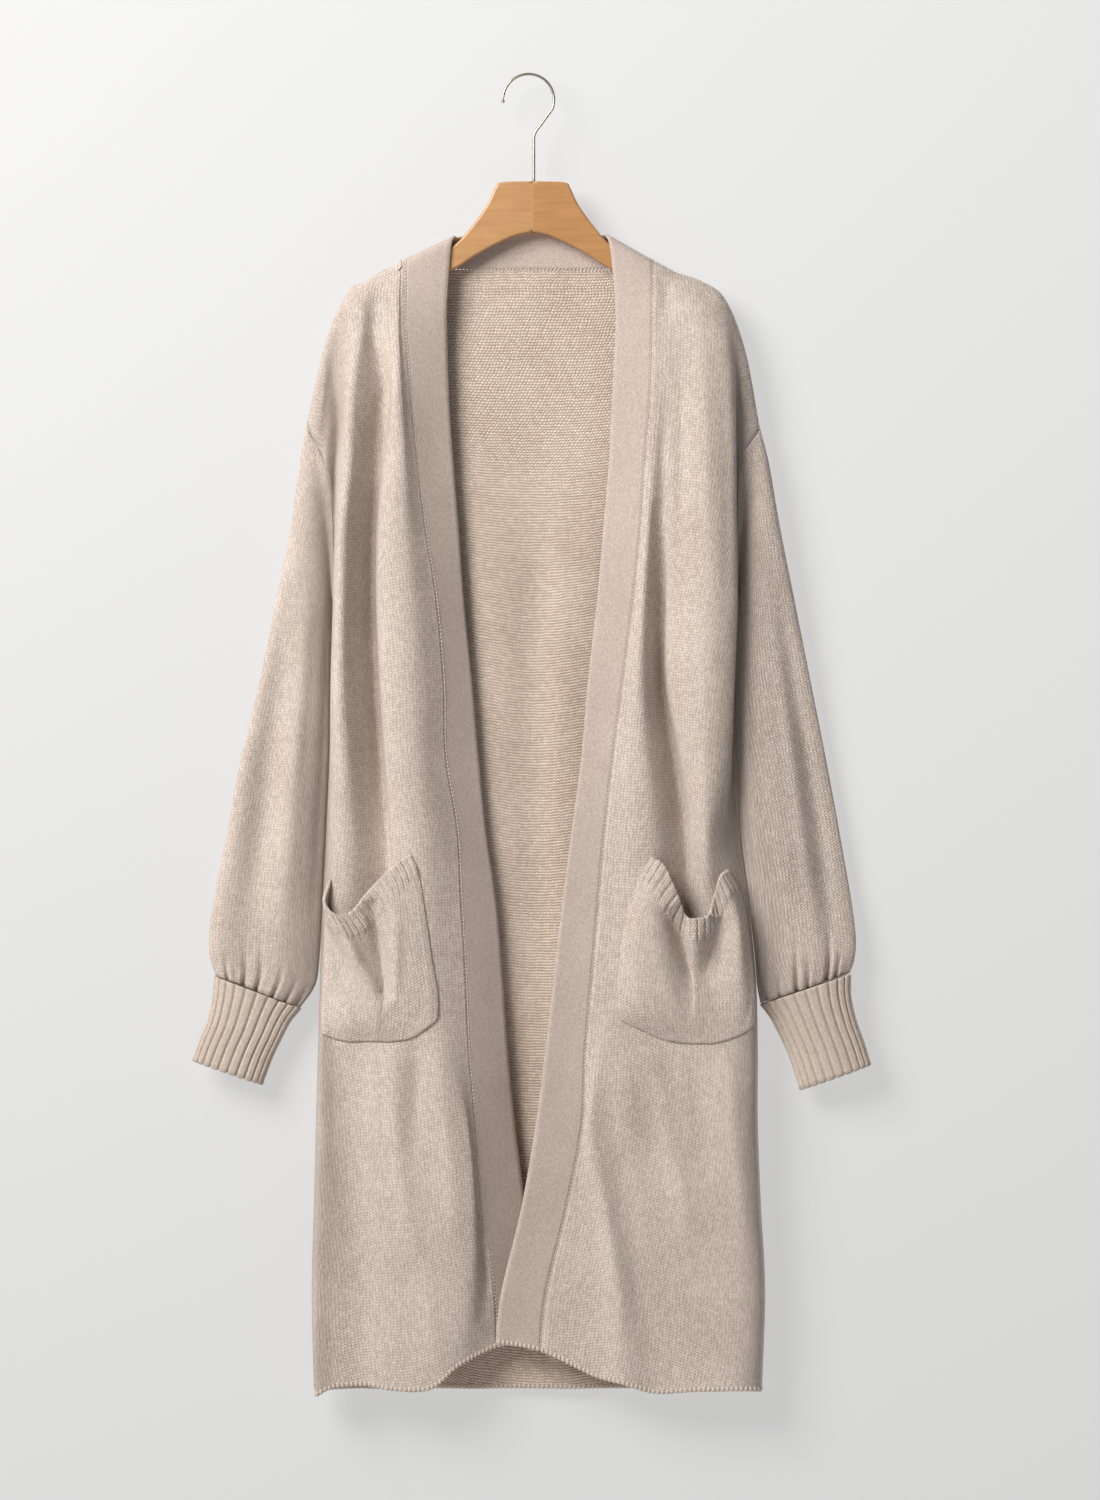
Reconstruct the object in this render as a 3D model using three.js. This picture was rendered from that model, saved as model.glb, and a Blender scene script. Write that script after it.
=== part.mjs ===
// A knee-length open-front cardigan in fine knit, hanging on a wooden hanger with a wire hook.
// Millimetres, +Z up. The origin is the inside top of the hook's loop, where a rail carries it.
// The garment faces -Y. "Left" and "right" are the wearer's, so the left front is on the +X side.
//
// Three measures place every point of the cloth:
//   across  along X, from the hook
//   proud   towards whoever faces the garment, from the hanger's middle plane (so y = -proud)
//   drop    below the hook's rest (so z = -drop)
//
// A panel is a net: its rows are heights and its columns are the lines that shape it, such as a seam,
// the roll of a fold or the valley beside it. The cloth is the smooth surface through the net, given
// a wall of the knit's thickness.
import * as THREE from "three";

// ---- Driving dimensions -------------------------------------------------------------------------
const SEAM_GAP = 0.4; // between two sewn pieces
const KNIT = 2; // wall of the plain knit
const BAND_KNIT = 2.2; // wall of the front band
const RIB_KNIT = 1.8; // wall of the ribbing, under its ribs
const RIB_HEIGHT = 1.3; // how far a rib stands out
const CUFF_RIBS = 24; // round one cuff
const MOUTH_RIBS = 20; // along one pocket mouth
const GATHERS = 10; // round the end of one sleeve
const GATHER_DEPTH = 2.2;
const NECK_GAP = 1.2; // between the band and the back's top edge, behind the neck
const POCKET_GAP = 0.8; // between a pocket and the front it is sewn on

const WIRE = 2.6; // hook wire diameter
const HOOK_RADIUS = 24.3; // of the loop, to the middle of the wire
const HOOK_BALL = 3.6; // diameter of the hook's rounded end
const SHANK = 5.2; // across of the hook's straight shank
const WOOD = 11; // hanger thickness
const WOOD_EDGE = 2; // rounding of its edges
const WOOD_TOP = 101.5; // drop of the top of the hanger's neck
const HANGER_CENTRE = 4; // across

// ---- Splines --------------------------------------------------------------------------------------
const lerp = (a, b, t) => a + (b - a) * t;
const clamp = (v, lo, hi) => Math.min(hi, Math.max(lo, v));
const hump = (t, centre, width) => Math.exp(-(((t - centre) / width) ** 2));
const steps = (from, to, count) => Array.from({ length: count + 1 }, (_, k) => lerp(from, to, k / count));

// The smooth curve through points, for t from 0 to their number less 1.
function through(points, t) {
  const last = points.length - 1;
  const i = clamp(Math.floor(t), 0, last - 1);
  const f = t - i;
  const at = (k) => points[clamp(k, 0, last)];
  return points[0].map((_, c) => {
    const [a, b] = [at(i)[c], at(i + 1)[c]];
    const start = i > 0 ? (b - at(i - 1)[c]) / 2 : b - a;
    const end = i + 1 < last ? (at(i + 2)[c] - a) / 2 : b - a;
    const bend = 3 * (b - a) - 2 * start - end;
    return a + f * (start + f * (bend + f * (start + end - 2 * (b - a))));
  });
}

// The net of a table, whose rows give each line's across and proud, and its drop or one drop for all.
function net(table) {
  return table.map(({ drop, across, proud }) =>
    across.map((x, k) => [x, proud[k], Array.isArray(drop) ? drop[k] : drop]),
  );
}

// The points of a net's surface at every u, which counts lines, and v, which counts rows.
function sampled(rows, us, vs) {
  const fine = rows.map((row) => us.map((u) => through(row, u)));
  return vs.map((v) => us.map((_, j) => through(fine.map((row) => row[j]), v)));
}

// ---- Walls ----------------------------------------------------------------------------------------
const place = ([across, proud, drop]) => new THREE.Vector3(across, -proud, -drop);

// Unit normals of a grid of points, from their neighbours.
function normals(grid, closed) {
  const rows = grid.length;
  const columns = grid[0].length;
  const at = (i, j) => grid[i][closed ? (j + columns) % columns : clamp(j, 0, columns - 1)];
  return grid.map((row, i) =>
    row.map((_, j) => {
      const along = at(i, j + 1).clone().sub(at(i, j - 1));
      const down = at(Math.min(rows - 1, i + 1), j).clone().sub(at(Math.max(0, i - 1), j));
      return along.cross(down).normalize();
    }),
  );
}

// The triangles between two rows of vertex indices, one of which may have twice the other's columns.
function strip(faces, a, b, closed) {
  const coarse = Math.min(a.length, b.length);
  const at = (row, k) => row[closed ? k % row.length : k];
  for (let j = 0; j < (closed ? coarse : coarse - 1); j += 1) {
    if (b.length > a.length) {
      const [b0, b1, b2] = [0, 1, 2].map((k) => at(b, 2 * j + k));
      faces.push([a[j], b0, b1], [a[j], b1, at(a, j + 1)], [at(a, j + 1), b1, b2]);
    } else if (a.length > b.length) {
      const [a0, a1, a2] = [0, 1, 2].map((k) => at(a, 2 * j + k));
      faces.push([a0, b[j], a1], [a1, b[j], at(b, j + 1)], [a1, at(b, j + 1), a2]);
    } else {
      faces.push([a[j], b[j], at(b, j + 1)], [a[j], at(b, j + 1), at(a, j + 1)]);
    }
  }
}

// A geometry of points and faces, turned to face outwards.
function solid(points, faces) {
  const wedge = ([a, b, c]) => points[a].dot(points[b].clone().cross(points[c]));
  const volume = faces.reduce((sum, face) => sum + wedge(face), 0);
  const order = volume < 0 ? [0, 2, 1] : [0, 1, 2];
  const geometry = new THREE.BufferGeometry();
  const positions = points.flatMap((p) => p.toArray());
  geometry.setAttribute("position", new THREE.Float32BufferAttribute(positions, 3));
  geometry.setIndex(faces.flatMap((f) => order.map((k) => f[k])));
  geometry.computeVertexNormals();
  return geometry;
}

// A closed wall between an outer and an inner layer of points.
function shell(outer, inner, closed) {
  const points = [];
  const faces = [];
  const back = [];
  const indexed = (layer) => layer.map((row) => row.map((p) => points.push(p) - 1));
  const o = indexed(outer);
  const n = indexed(inner);
  for (let i = 0; i + 1 < o.length; i += 1) {
    strip(faces, o[i], o[i + 1], closed);
    strip(back, n[i], n[i + 1], closed);
  }
  back.forEach(([a, b, c]) => faces.push([a, c, b]));
  strip(faces, n[0], o[0], closed);
  strip(faces, o.at(-1), n.at(-1), closed);
  if (!closed) {
    strip(faces, o.map((row) => row[0]), n.map((row) => row[0]), false);
    strip(faces, n.map((row) => row.at(-1)), o.map((row) => row.at(-1)), false);
  }
  return solid(points, faces);
}

// The wall of a grid of table points, whose layer is the outside of the cloth.
//   facing   1 where the grid's normals point out of the garment, or -1
//   square   the axis, if any, that a seamed edge's end face looks along at a row and column, so that
//            it lies flat against its neighbour's
//   relief   how far each outer point is raised
//   coarse   the rows that keep every second column
function wall(grid, { thickness = KNIT, facing = 1, closed = false, square, relief, coarse } = {}) {
  const points = grid.map((row) => row.map(place));
  const out = normals(points, closed);
  out.forEach((row, i) =>
    row.forEach((n, j) => {
      const axis = square?.(i, j);
      if (axis) n.setComponent("xyz".indexOf(axis), 0).normalize();
    }),
  );
  const moved = (depth) =>
    points.map((row, i) =>
      row
        .map((p, j) => p.clone().addScaledVector(out[i][j], facing * depth(i, j)))
        .filter((_, j) => j % 2 === 0 || !coarse?.(i)),
    );
  return shell(moved(relief ?? (() => 0)), moved(() => -thickness), closed);
}

// ---- The fronts -----------------------------------------------------------------------------------
// Each front hangs from the shoulder seam behind the hanger's arm, rolls over the arm and falls in
// deep folds. Its first line is the free edge of the front band and its second the band's seam.
// The left front's lines are edge, seam, roll, valley, rise, crest, fold, tuck and side.
const LEFT_FRONT = [
  {
    drop: [152, 177, 179, 182, 188, 197, 215, 264, 337],
    across: [72, 118, 122, 127, 138, 163, 188, 207, 221],
    proud: [-4, -4, -4, -4, -4, -4, -4, -3, -2],
  },
  {
    drop: [151, 176, 178, 181, 187, 196, 214, 263, 337],
    across: [74, 118, 122, 127, 138, 163, 188, 207, 221],
    proud: [2, 2, 2, 2, 2, 2, 2, 2, 1],
  },
  {
    drop: [156, 180, 182, 185, 191, 200, 218, 266, 339],
    across: [76, 118, 122, 127, 138, 163, 188, 207, 220],
    proud: [8, 9, 9, 9, 9, 9, 8, 6, 4],
  },
  {
    drop: [170, 191, 193, 196, 200, 209, 226, 272, 344],
    across: [79, 118, 122, 127, 138, 163, 188, 205, 217],
    proud: [9, 12, 12, 12, 13, 13, 12, 9, 6],
  },
  {
    drop: [215, 215, 215, 216, 218, 222, 238, 282, 353],
    across: [83, 117, 121, 126, 137, 164, 189, 203, 211],
    proud: [9, 15, 15, 14, 17, 19, 15, 10, 7],
  },
  {
    drop: [250, 250, 250, 250, 251, 254, 264, 302, 363],
    across: [83, 117, 121, 125, 134, 165, 191, 200, 205],
    proud: [10, 18, 18, 15, 20, 24, 20, 9, 8],
  },
  {
    drop: [310, 310, 310, 310, 310, 311, 316, 336, 378],
    across: [80, 115, 119, 123, 130, 168, 194, 198, 201],
    proud: [11, 20, 21, 15, 23, 30, 25, 9, 8],
  },
  {
    drop: [370, 370, 370, 370, 370, 370, 371, 380, 402],
    across: [77, 110, 117, 122, 128, 170, 195, 198, 199],
    proud: [11, 21, 22, 13, 24, 33, 27, 9, 7],
  },
  {
    drop: [430, 430, 430, 430, 430, 430, 430, 436, 448],
    across: [72, 106, 116, 123, 128, 171, 196, 197, 198],
    proud: [12, 22, 24, 11, 25, 35, 28, 9, 5],
  },
  {
    drop: 500,
    across: [66, 99, 114, 123, 127, 171, 197, 197, 197],
    proud: [12, 23, 26, 10, 25, 36, 28, 8, 1],
  },
  {
    drop: 580,
    across: [57, 89, 113, 123, 128, 167, 193, 194, 194],
    proud: [12, 24, 28, 9, 24, 36, 28, 8, 1],
  },
  {
    drop: 650,
    across: [51, 80, 116, 134, 141, 165, 187, 191, 196],
    proud: [12, 25, 29, 9, 22, 36, 28, 9, 1],
  },
  {
    drop: 720,
    across: [42, 72, 121, 142, 151, 164, 177, 187, 201],
    proud: [12, 26, 30, 9, 20, 35, 28, 13, 1],
  },
  {
    drop: 790,
    across: [33, 66, 112, 140, 151, 165, 179, 196, 210],
    proud: [12, 27, 29, 12, 17, 29, 25, 15, 1],
  },
  {
    drop: 860,
    across: [25, 60, 98, 130, 150, 167, 184, 204, 217],
    proud: [13, 27, 27, 20, 21, 26, 25, 18, 1],
  },
  {
    drop: 930,
    across: [17, 54, 74, 105, 135, 160, 184, 206, 219],
    proud: [14, 27, 24, 26, 26, 28, 26, 19, 1],
  },
  {
    drop: 1000,
    across: [8, 51, 63, 80, 115, 150, 182, 205, 219],
    proud: [16, 27, 21, 27, 24, 29, 27, 19, 1],
  },
  {
    drop: 1080,
    across: [-6, 36, 64, 77, 118, 154, 186, 208, 222],
    proud: [18, 26, 20, 28, 24, 29, 27, 19, 1],
  },
  {
    drop: 1160,
    across: [-25, 17, 66, 79, 120, 156, 190, 213, 226],
    proud: [20, 25, 20, 28, 24, 29, 27, 19, 1],
  },
  {
    drop: [1207, 1215, 1239, 1246, 1255, 1253, 1252, 1253, 1255],
    across: [-30, 11, 66, 81, 120, 156, 188, 210, 223],
    proud: [21, 25, 20, 28, 24, 29, 27, 19, 1],
  },
];

// The right front's lines are edge, seam, roll, fall, valley, crest, fold, tuck and side.
const RIGHT_FRONT = [
  {
    drop: [154, 176, 179, 184, 191, 199, 208, 253, 333],
    across: [-69, -117, -123, -132, -146, -159, -173, -193, -212],
    proud: [-4, -4, -4, -4, -4, -4, -4, -3, -2],
  },
  {
    drop: [153, 175, 178, 183, 190, 198, 207, 252, 333],
    across: [-71, -117, -123, -132, -146, -159, -173, -193, -212],
    proud: [2, 2, 2, 2, 2, 2, 2, 2, 1],
  },
  {
    drop: [158, 179, 182, 187, 194, 202, 211, 255, 335],
    across: [-73, -117, -123, -132, -146, -159, -173, -193, -211],
    proud: [8, 9, 9, 9, 9, 9, 8, 6, 4],
  },
  {
    drop: [172, 190, 193, 198, 203, 210, 219, 262, 341],
    across: [-75, -117, -123, -132, -146, -159, -174, -192, -209],
    proud: [9, 12, 13, 13, 12, 13, 12, 9, 6],
  },
  {
    drop: [215, 215, 215, 217, 219, 224, 232, 272, 350],
    across: [-78, -117, -124, -133, -146, -159, -174, -190, -204],
    proud: [9, 15, 18, 17, 14, 18, 15, 10, 7],
  },
  {
    drop: [250, 250, 250, 250, 252, 255, 262, 298, 361],
    across: [-78, -116, -124, -133, -147, -160, -174, -187, -198],
    proud: [9, 18, 23, 20, 14, 23, 18, 9, 8],
  },
  {
    drop: [310, 310, 310, 310, 310, 311, 316, 334, 376],
    across: [-76, -111, -122, -133, -148, -161, -174, -184, -193],
    proud: [9, 20, 29, 24, 13, 28, 20, 8, 8],
  },
  {
    drop: [370, 370, 370, 370, 370, 370, 371, 378, 400],
    across: [-72, -105, -120, -138, -152, -165, -179, -185, -190],
    proud: [9, 20, 32, 25, 11, 31, 22, 8, 7],
  },
  {
    drop: [430, 430, 430, 430, 430, 430, 430, 435, 448],
    across: [-67, -98, -118, -142, -154, -169, -185, -187, -188],
    proud: [9, 19, 34, 25, 10, 33, 23, 8, 5],
  },
  {
    drop: 500,
    across: [-62, -87, -115, -145, -155, -172, -188, -188, -188],
    proud: [9, 18, 35, 25, 9, 34, 24, 8, 1],
  },
  {
    drop: 580,
    across: [-54, -80, -112, -146, -156, -174, -190, -190, -190],
    proud: [9, 18, 36, 25, 9, 33, 24, 8, 1],
  },
  {
    drop: 650,
    across: [-48, -78, -108, -138, -148, -168, -186, -192, -197],
    proud: [8, 18, 36, 25, 9, 29, 21, 11, 1],
  },
  {
    drop: 720,
    across: [-41, -67, -100, -133, -143, -165, -183, -192, -198],
    proud: [8, 18, 35, 25, 11, 26, 21, 13, 1],
  },
  {
    drop: 790,
    across: [-31, -63, -97, -131, -145, -165, -182, -192, -198],
    proud: [8, 18, 34, 26, 15, 24, 21, 14, 1],
  },
  {
    drop: 860,
    across: [-25, -59, -92, -127, -146, -163, -180, -192, -199],
    proud: [8, 18, 33, 27, 20, 23, 21, 15, 1],
  },
  {
    drop: 930,
    across: [-20, -56, -82, -115, -138, -160, -179, -193, -201],
    proud: [8, 17, 31, 29, 26, 25, 22, 15, 1],
  },
  {
    drop: 1000,
    across: [-13, -50, -66, -100, -132, -158, -180, -195, -203],
    proud: [8, 13, 29, 32, 29, 27, 23, 16, 1],
  },
  {
    drop: 1080,
    across: [-4, -44, -58, -95, -130, -157, -181, -197, -205],
    proud: [7, 8, 26, 33, 30, 27, 23, 16, 1],
  },
  {
    drop: 1160,
    across: [-2, -32, -62, -92, -128, -157, -183, -200, -207],
    proud: [6, 6, 24, 32, 29, 27, 23, 16, 1],
  },
  {
    drop: [1210, 1213, 1229, 1250, 1252, 1248, 1250, 1257, 1255],
    across: [-1, -30, -69, -92, -125, -157, -183, -198, -205],
    proud: [6, 6, 23, 31, 29, 27, 23, 16, 1],
  },
];

// The lines that both fronts have, by their place in a row.
const [EDGE, SEAM, CREST, FOLD, TUCK, SIDE] = [0, 1, 5, 6, 7, 8];
const UNDERARM_DROP = 500;
const UNDERARM = LEFT_FRONT.findIndex(({ drop }) => drop === UNDERARM_DROP);
const FRONT_COLUMNS = 14;
const ROLL_ROWS = 4; // over the hanger's arm, where the net's own rows are close enough

const LEFT = { name: "left", side: 1, front: net(LEFT_FRONT) };
const RIGHT = { name: "right", side: -1, front: net(RIGHT_FRONT) };
const SIDES = [LEFT, RIGHT];

// The rows at which a front and its band are sampled, two for each row of the net below the roll.
const frontRows = steps(0, LEFT_FRONT.length - 1, 2 * (LEFT_FRONT.length - 1)).filter(
  (v) => Number.isInteger(v) || v > ROLL_ROWS,
);

function frontWall({ side, front }) {
  const grid = sampled(front, steps(SEAM, SIDE, FRONT_COLUMNS), frontRows);
  grid.forEach((row) => {
    row[0][0] += (side * SEAM_GAP) / 2;
  });
  const square = (i, j) => {
    if (j === 0) return "x";
    return i === 0 || (j === FRONT_COLUMNS && frontRows[i] >= UNDERARM) ? "y" : undefined;
  };
  return wall(grid, { facing: -side, square });
}

// ---- The front band -------------------------------------------------------------------------------
// One strip runs up the right front, round the back of the neck and down the left front. Its
// stretch behind the neck has a free edge above and its seam below.
const NECK = [
  { station: "left shoulder", edge: [64, -10, 151], seam: [100, -11, 180.5] },
  { station: "left neck", edge: [40, -12.5, 150], seam: [60, -13, 184] },
  { station: "centre", edge: [2, -13, 149], seam: [2, -13.5, 184] },
  { station: "right neck", edge: [-37, -12.5, 150], seam: [-58, -13, 184] },
  { station: "right shoulder", edge: [-61, -10, 152], seam: [-99, -11, 180.5] },
];
const BAND_COLUMNS = 2;

function bandWall() {
  const across = (front) => front.map((row) => steps(EDGE, SEAM, BAND_COLUMNS).map((u) => through(row, u)));
  const behind = NECK.map(({ edge, seam }) =>
    steps(0, 1, BAND_COLUMNS).map((t) => edge.map((v, c) => lerp(v, seam[c], t))),
  );
  const stations = [...across(LEFT.front).reverse(), ...behind, ...across(RIGHT.front)];
  const last = stations.length - 1;
  const sewn = LEFT.front.length - 1;
  const along = [
    ...frontRows.map((v) => sewn - v).reverse(),
    ...steps(sewn, last - sewn, 2 * (NECK.length + 1)).slice(1, -1),
    ...frontRows.map((v) => last - sewn + v),
  ];
  const grid = sampled(stations, steps(0, BAND_COLUMNS, BAND_COLUMNS), along);
  grid.forEach((row, i) => {
    const seam = row.at(-1);
    if (along[i] <= sewn) seam[0] -= SEAM_GAP / 2;
    else if (along[i] >= last - sewn) seam[0] += SEAM_GAP / 2;
    else seam[2] -= SEAM_GAP / 2;
  });
  const square = (_, j) => (j === BAND_COLUMNS ? "x" : undefined);
  return wall(grid, { thickness: BAND_KNIT, facing: 1, square });
}

// ---- The back ---------------------------------------------------------------------------------------
// The back shares the shoulder and side seams of the fronts and the neck seam of the band. Its depth
// behind the hanger and how its lines spread out evenly are given for each row of the fronts' nets.
const BACK_DEPTH = [4.4, 8, 11, 12.5, 13, 14, 14, 14, 14, 14, 14, 14, 14, 14, 14, 15, 16, 16, 16, 16];
const SHOULDER_END_DEPTH = 3; // where the shoulder seam meets the armhole
const BACK_NECK = [13.2, 13.4, 13.6, 13.8, 14];
const NECK_DROP = 182; // least drop of the back's neck edge
const BACK_NECK_DROPS = [188, 194, 202, 215];
const ARMHOLE_DEPTH = [2, 3.5, 6, 8, 9, 9.5, 9.5, 8, 5];
const SPREAD_ROWS = [4, 9]; // between these rows the back's lines spread out evenly
const BACK_RIPPLE = { depth: 2.5, pitch: 2.1, slant: 0.12 }; // soft folds: radians for a line and for a row
const BESIDE_SEAM = 3.5; // how much nearer the fronts the lines beside the side seams lie
const BACK_LINES = [SIDE, TUCK, FOLD, CREST, SEAM];
const BACK_ROWS = [0, 1, 2, 3, 4, 5, 6, 7, 8, 9, 11, 13, 15, 17, 19];

function backNet() {
  return LEFT.front.map((_, i) => {
    const half = ({ front }) =>
      BACK_LINES.map((line) => {
        const [x, proud, drop] = front[i][line];
        let depth = BACK_DEPTH[i];
        if (line === SIDE) depth = ARMHOLE_DEPTH[i] ?? -proud;
        else if (i === 0 && line === TUCK) depth = SHOULDER_END_DEPTH;
        return [x, -depth - SEAM_GAP, i === 0 && line === SEAM ? drop + NECK_GAP : drop];
      });
    const neck = NECK.map(({ seam }) => [
      seam[0],
      i === 0 ? seam[1] : -(BACK_NECK[i] ?? BACK_DEPTH[i]),
      i === 0 ? Math.max(seam[2], NECK_DROP) + NECK_GAP : (BACK_NECK_DROPS[i - 1] ?? 0),
    ]);
    const row = [...half(RIGHT), ...neck.reverse(), ...half(LEFT).reverse()];
    const [first, last] = [row[0], row.at(-1)];
    const spread = clamp((i - SPREAD_ROWS[0]) / (SPREAD_ROWS[1] - SPREAD_ROWS[0]), 0, 1);
    const own = spread < 1 ? LEFT.front[i][SEAM][2] : first[2];
    return row.map(([x, proud, drop], k) => {
      const share = k / (row.length - 1);
      const even = lerp(first[0], last[0], share);
      const level = lerp(first[2], last[2], share);
      const inner = k > 0 && k < row.length - 1;
      const wave = Math.cos(k * BACK_RIPPLE.pitch + i * BACK_RIPPLE.slant);
      const ripple = inner ? BACK_RIPPLE.depth * wave : 0;
      const near = k === 1 || k === row.length - 2 ? BESIDE_SEAM : 0;
      return [lerp(x, even, spread), proud + spread * (ripple + near), lerp(drop || own, level, spread)];
    });
  });
}

function backWall() {
  const rows = backNet();
  const width = rows[0].length - 1;
  const shoulder = BACK_LINES.indexOf(SEAM);
  const crest = BACK_LINES.indexOf(CREST);
  const fine = (u) => u > crest && u < width - crest;
  const us = steps(0, width, width * 2).filter((u) => Number.isInteger(u) || fine(u));
  const sides = [0, us.length - 1];
  const square = (i, j) => {
    if (i === 0) return us[j] <= shoulder || us[j] >= width - shoulder ? "y" : undefined;
    return BACK_ROWS[i] >= UNDERARM && sides.includes(j) ? "y" : undefined;
  };
  return wall(sampled(rows, us, BACK_ROWS), { facing: 1, square });
}

// ---- Sleeves and cuffs ------------------------------------------------------------------------------
// A ring runs from the sleeve's outer fold across its front to the inner fold and back behind. Its two
// folds each have an across and a drop, thick is half its depth, and bend is how late its drop falls
// from the outer fold to the inner one. crease is where a lengthwise fold lies and how deep it is.
const LEFT_SLEEVE = [
  { outer: [230, 372], inner: [199.5, 516], thick: 10, bend: 4, crease: [0.3, 0] },
  { outer: [240, 430], inner: [200, 535], thick: 13, bend: 2.6, crease: [0.3, 0] },
  { outer: [254, 500], inner: [201, 566], thick: 15, bend: 1.6, crease: [0.25, 1] },
  { outer: [270, 580], inner: [203, 612], thick: 16, bend: 1, crease: [0.2, 4] },
  { outer: [284, 650], inner: [206, 668], thick: 17, bend: 1, crease: [0.22, 6] },
  { outer: [297, 720], inner: [209, 730], thick: 18, bend: 1, crease: [0.25, 6] },
  { outer: [309, 790], inner: [213, 795], thick: 18, bend: 1, crease: [0.3, 4] },
  { outer: [313, 826], inner: [218, 838], thick: 16, bend: 1, crease: [0.3, 2] },
  { outer: [311, 846], inner: [221.5, 868], thick: 13, bend: 1, crease: [0.3, 0] },
  { outer: [307, 857], inner: [224, 886], thick: 9, bend: 1, crease: [0.3, 0] },
];
const RIGHT_SLEEVE = [
  { outer: [-219, 370], inner: [-190.5, 516], thick: 10, bend: 4, crease: [0.5, 0] },
  { outer: [-227, 430], inner: [-191, 535], thick: 13, bend: 2.6, crease: [0.5, 0] },
  { outer: [-241, 500], inner: [-192, 566], thick: 15, bend: 1.6, crease: [0.5, 1] },
  { outer: [-257, 580], inner: [-196, 612], thick: 16, bend: 1, crease: [0.4, 3] },
  { outer: [-274, 650], inner: [-199.5, 668], thick: 17, bend: 1, crease: [0.42, 4] },
  { outer: [-287, 720], inner: [-200.5, 730], thick: 18, bend: 1, crease: [0.43, 5] },
  { outer: [-301, 790], inner: [-201, 795], thick: 18, bend: 1, crease: [0.45, 4] },
  { outer: [-305, 826], inner: [-202, 838], thick: 16, bend: 1, crease: [0.45, 2] },
  { outer: [-303, 847], inner: [-208, 868], thick: 13, bend: 1, crease: [0.45, 0] },
  { outer: [-299, 859], inner: [-218, 890], thick: 9, bend: 1, crease: [0.45, 0] },
];
const LEFT_CUFF = [
  { outer: [307, 858], inner: [224.5, 887], thick: 9.5, bend: 1 },
  { outer: [307, 879], inner: [233, 900], thick: 8.5, bend: 1 },
  { outer: [312, 902], inner: [242, 919], thick: 8.5, bend: 1 },
  { outer: [319, 922], inner: [251, 940], thick: 8.5, bend: 1 },
  { outer: [326, 944], inner: [260, 968], thick: 9, bend: 1 },
];
const RIGHT_CUFF = [
  { outer: [-299.5, 860], inner: [-218, 891], thick: 9.5, bend: 1 },
  { outer: [-301, 881], inner: [-228, 903], thick: 8.5, bend: 1 },
  { outer: [-306, 904], inner: [-237, 920], thick: 8.5, bend: 1 },
  { outer: [-313, 921], inner: [-246, 939], thick: 8.5, bend: 1 },
  { outer: [-320, 940], inner: [-255, 963], thick: 9, bend: 1 },
];
const SLEEVE_COLUMNS = 3 * GATHERS;
const CUFF_COLUMNS = 3 * CUFF_RIBS;
const SLEEVE_ROWS = 13;
const CUFF_ROWS = 3;
const ARMHOLE_SHIFT = 1; // from the body's edge to the sleeve's
const CREASE_WIDTH = 0.07; // as a share of the sleeve's width
const CREASE_RISE = 0.12; // from a crease's valley to the ridge beside it
const FULLNESS = 0.8; // how square a ring's section is: 1 for an ellipse, less for a fuller one
const GATHER_REACH = 2.5; // rows of the table that the gathers run up from the cuff

function ring({ outer, inner, thick, bend, crease = [0, 0] }, columns) {
  const [where, depth] = crease;
  return Array.from({ length: columns }, (_, j) => {
    const angle = (j / columns) * 2 * Math.PI;
    const t = (1 - Math.cos(angle)) / 2;
    const before = angle < Math.PI;
    const pleat = hump(t, where, CREASE_WIDTH) - hump(t, where + CREASE_RISE, CREASE_WIDTH);
    const round = Math.abs(Math.sin(angle)) ** FULLNESS;
    return [
      lerp(outer[0], inner[0], t),
      (before ? 1 : -1) * thick * round - (before ? depth * pleat : 0),
      lerp(outer[1], inner[1], t ** bend),
    ];
  });
}

// The edge of the armhole, from the shoulder's end down the front, through the underarm and up the back.
function armhole({ front }, back, column) {
  const down = front.slice(1, UNDERARM + 1).map((row) => row[SIDE]);
  const up = back.slice(0, UNDERARM).map((row) => row[column]).reverse();
  return [...down, ...up];
}

function sleeveWall(body, table) {
  const { side } = body;
  const back = backNet();
  const loop = armhole(body, back, side > 0 ? back[0].length - 1 : 0);
  const top = ring({ outer: [0, 0], inner: [1, 1], thick: 1, bend: 1 }, SLEEVE_COLUMNS).map((_, j) => {
    const [x, proud, drop] = through([...loop, loop[0]], (j / SLEEVE_COLUMNS) * loop.length);
    return [x + side * ARMHOLE_SHIFT, proud, drop + ARMHOLE_SHIFT];
  });
  const rows = [top, ...table.map((row) => ring(row, SLEEVE_COLUMNS))];
  const last = rows.length - 1;
  const grid = steps(0, last, SLEEVE_ROWS).map((v) =>
    top.map((_, j) => {
      const [x, proud, drop] = through(rows.map((row) => row[j]), v);
      const gather = j % 3 === 0 ? GATHER_DEPTH * clamp(v - last + GATHER_REACH, 0, 1) : 0;
      return [x, proud - Math.sign(proud) * gather, drop];
    }),
  );
  return wall(grid, { facing: side, closed: true });
}

function cuffWall({ side }, table) {
  const rows = table.map((row) => ring(row, CUFF_COLUMNS));
  const grid = steps(0, rows.length - 1, CUFF_ROWS).map((v) =>
    rows[0].map((_, j) => through(rows.map((row) => row[j]), v)),
  );
  const relief = (_, j) => (j % 3 === 0 ? 0 : RIB_HEIGHT);
  return wall(grid, { thickness: RIB_KNIT, facing: side, closed: true, relief });
}

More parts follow.
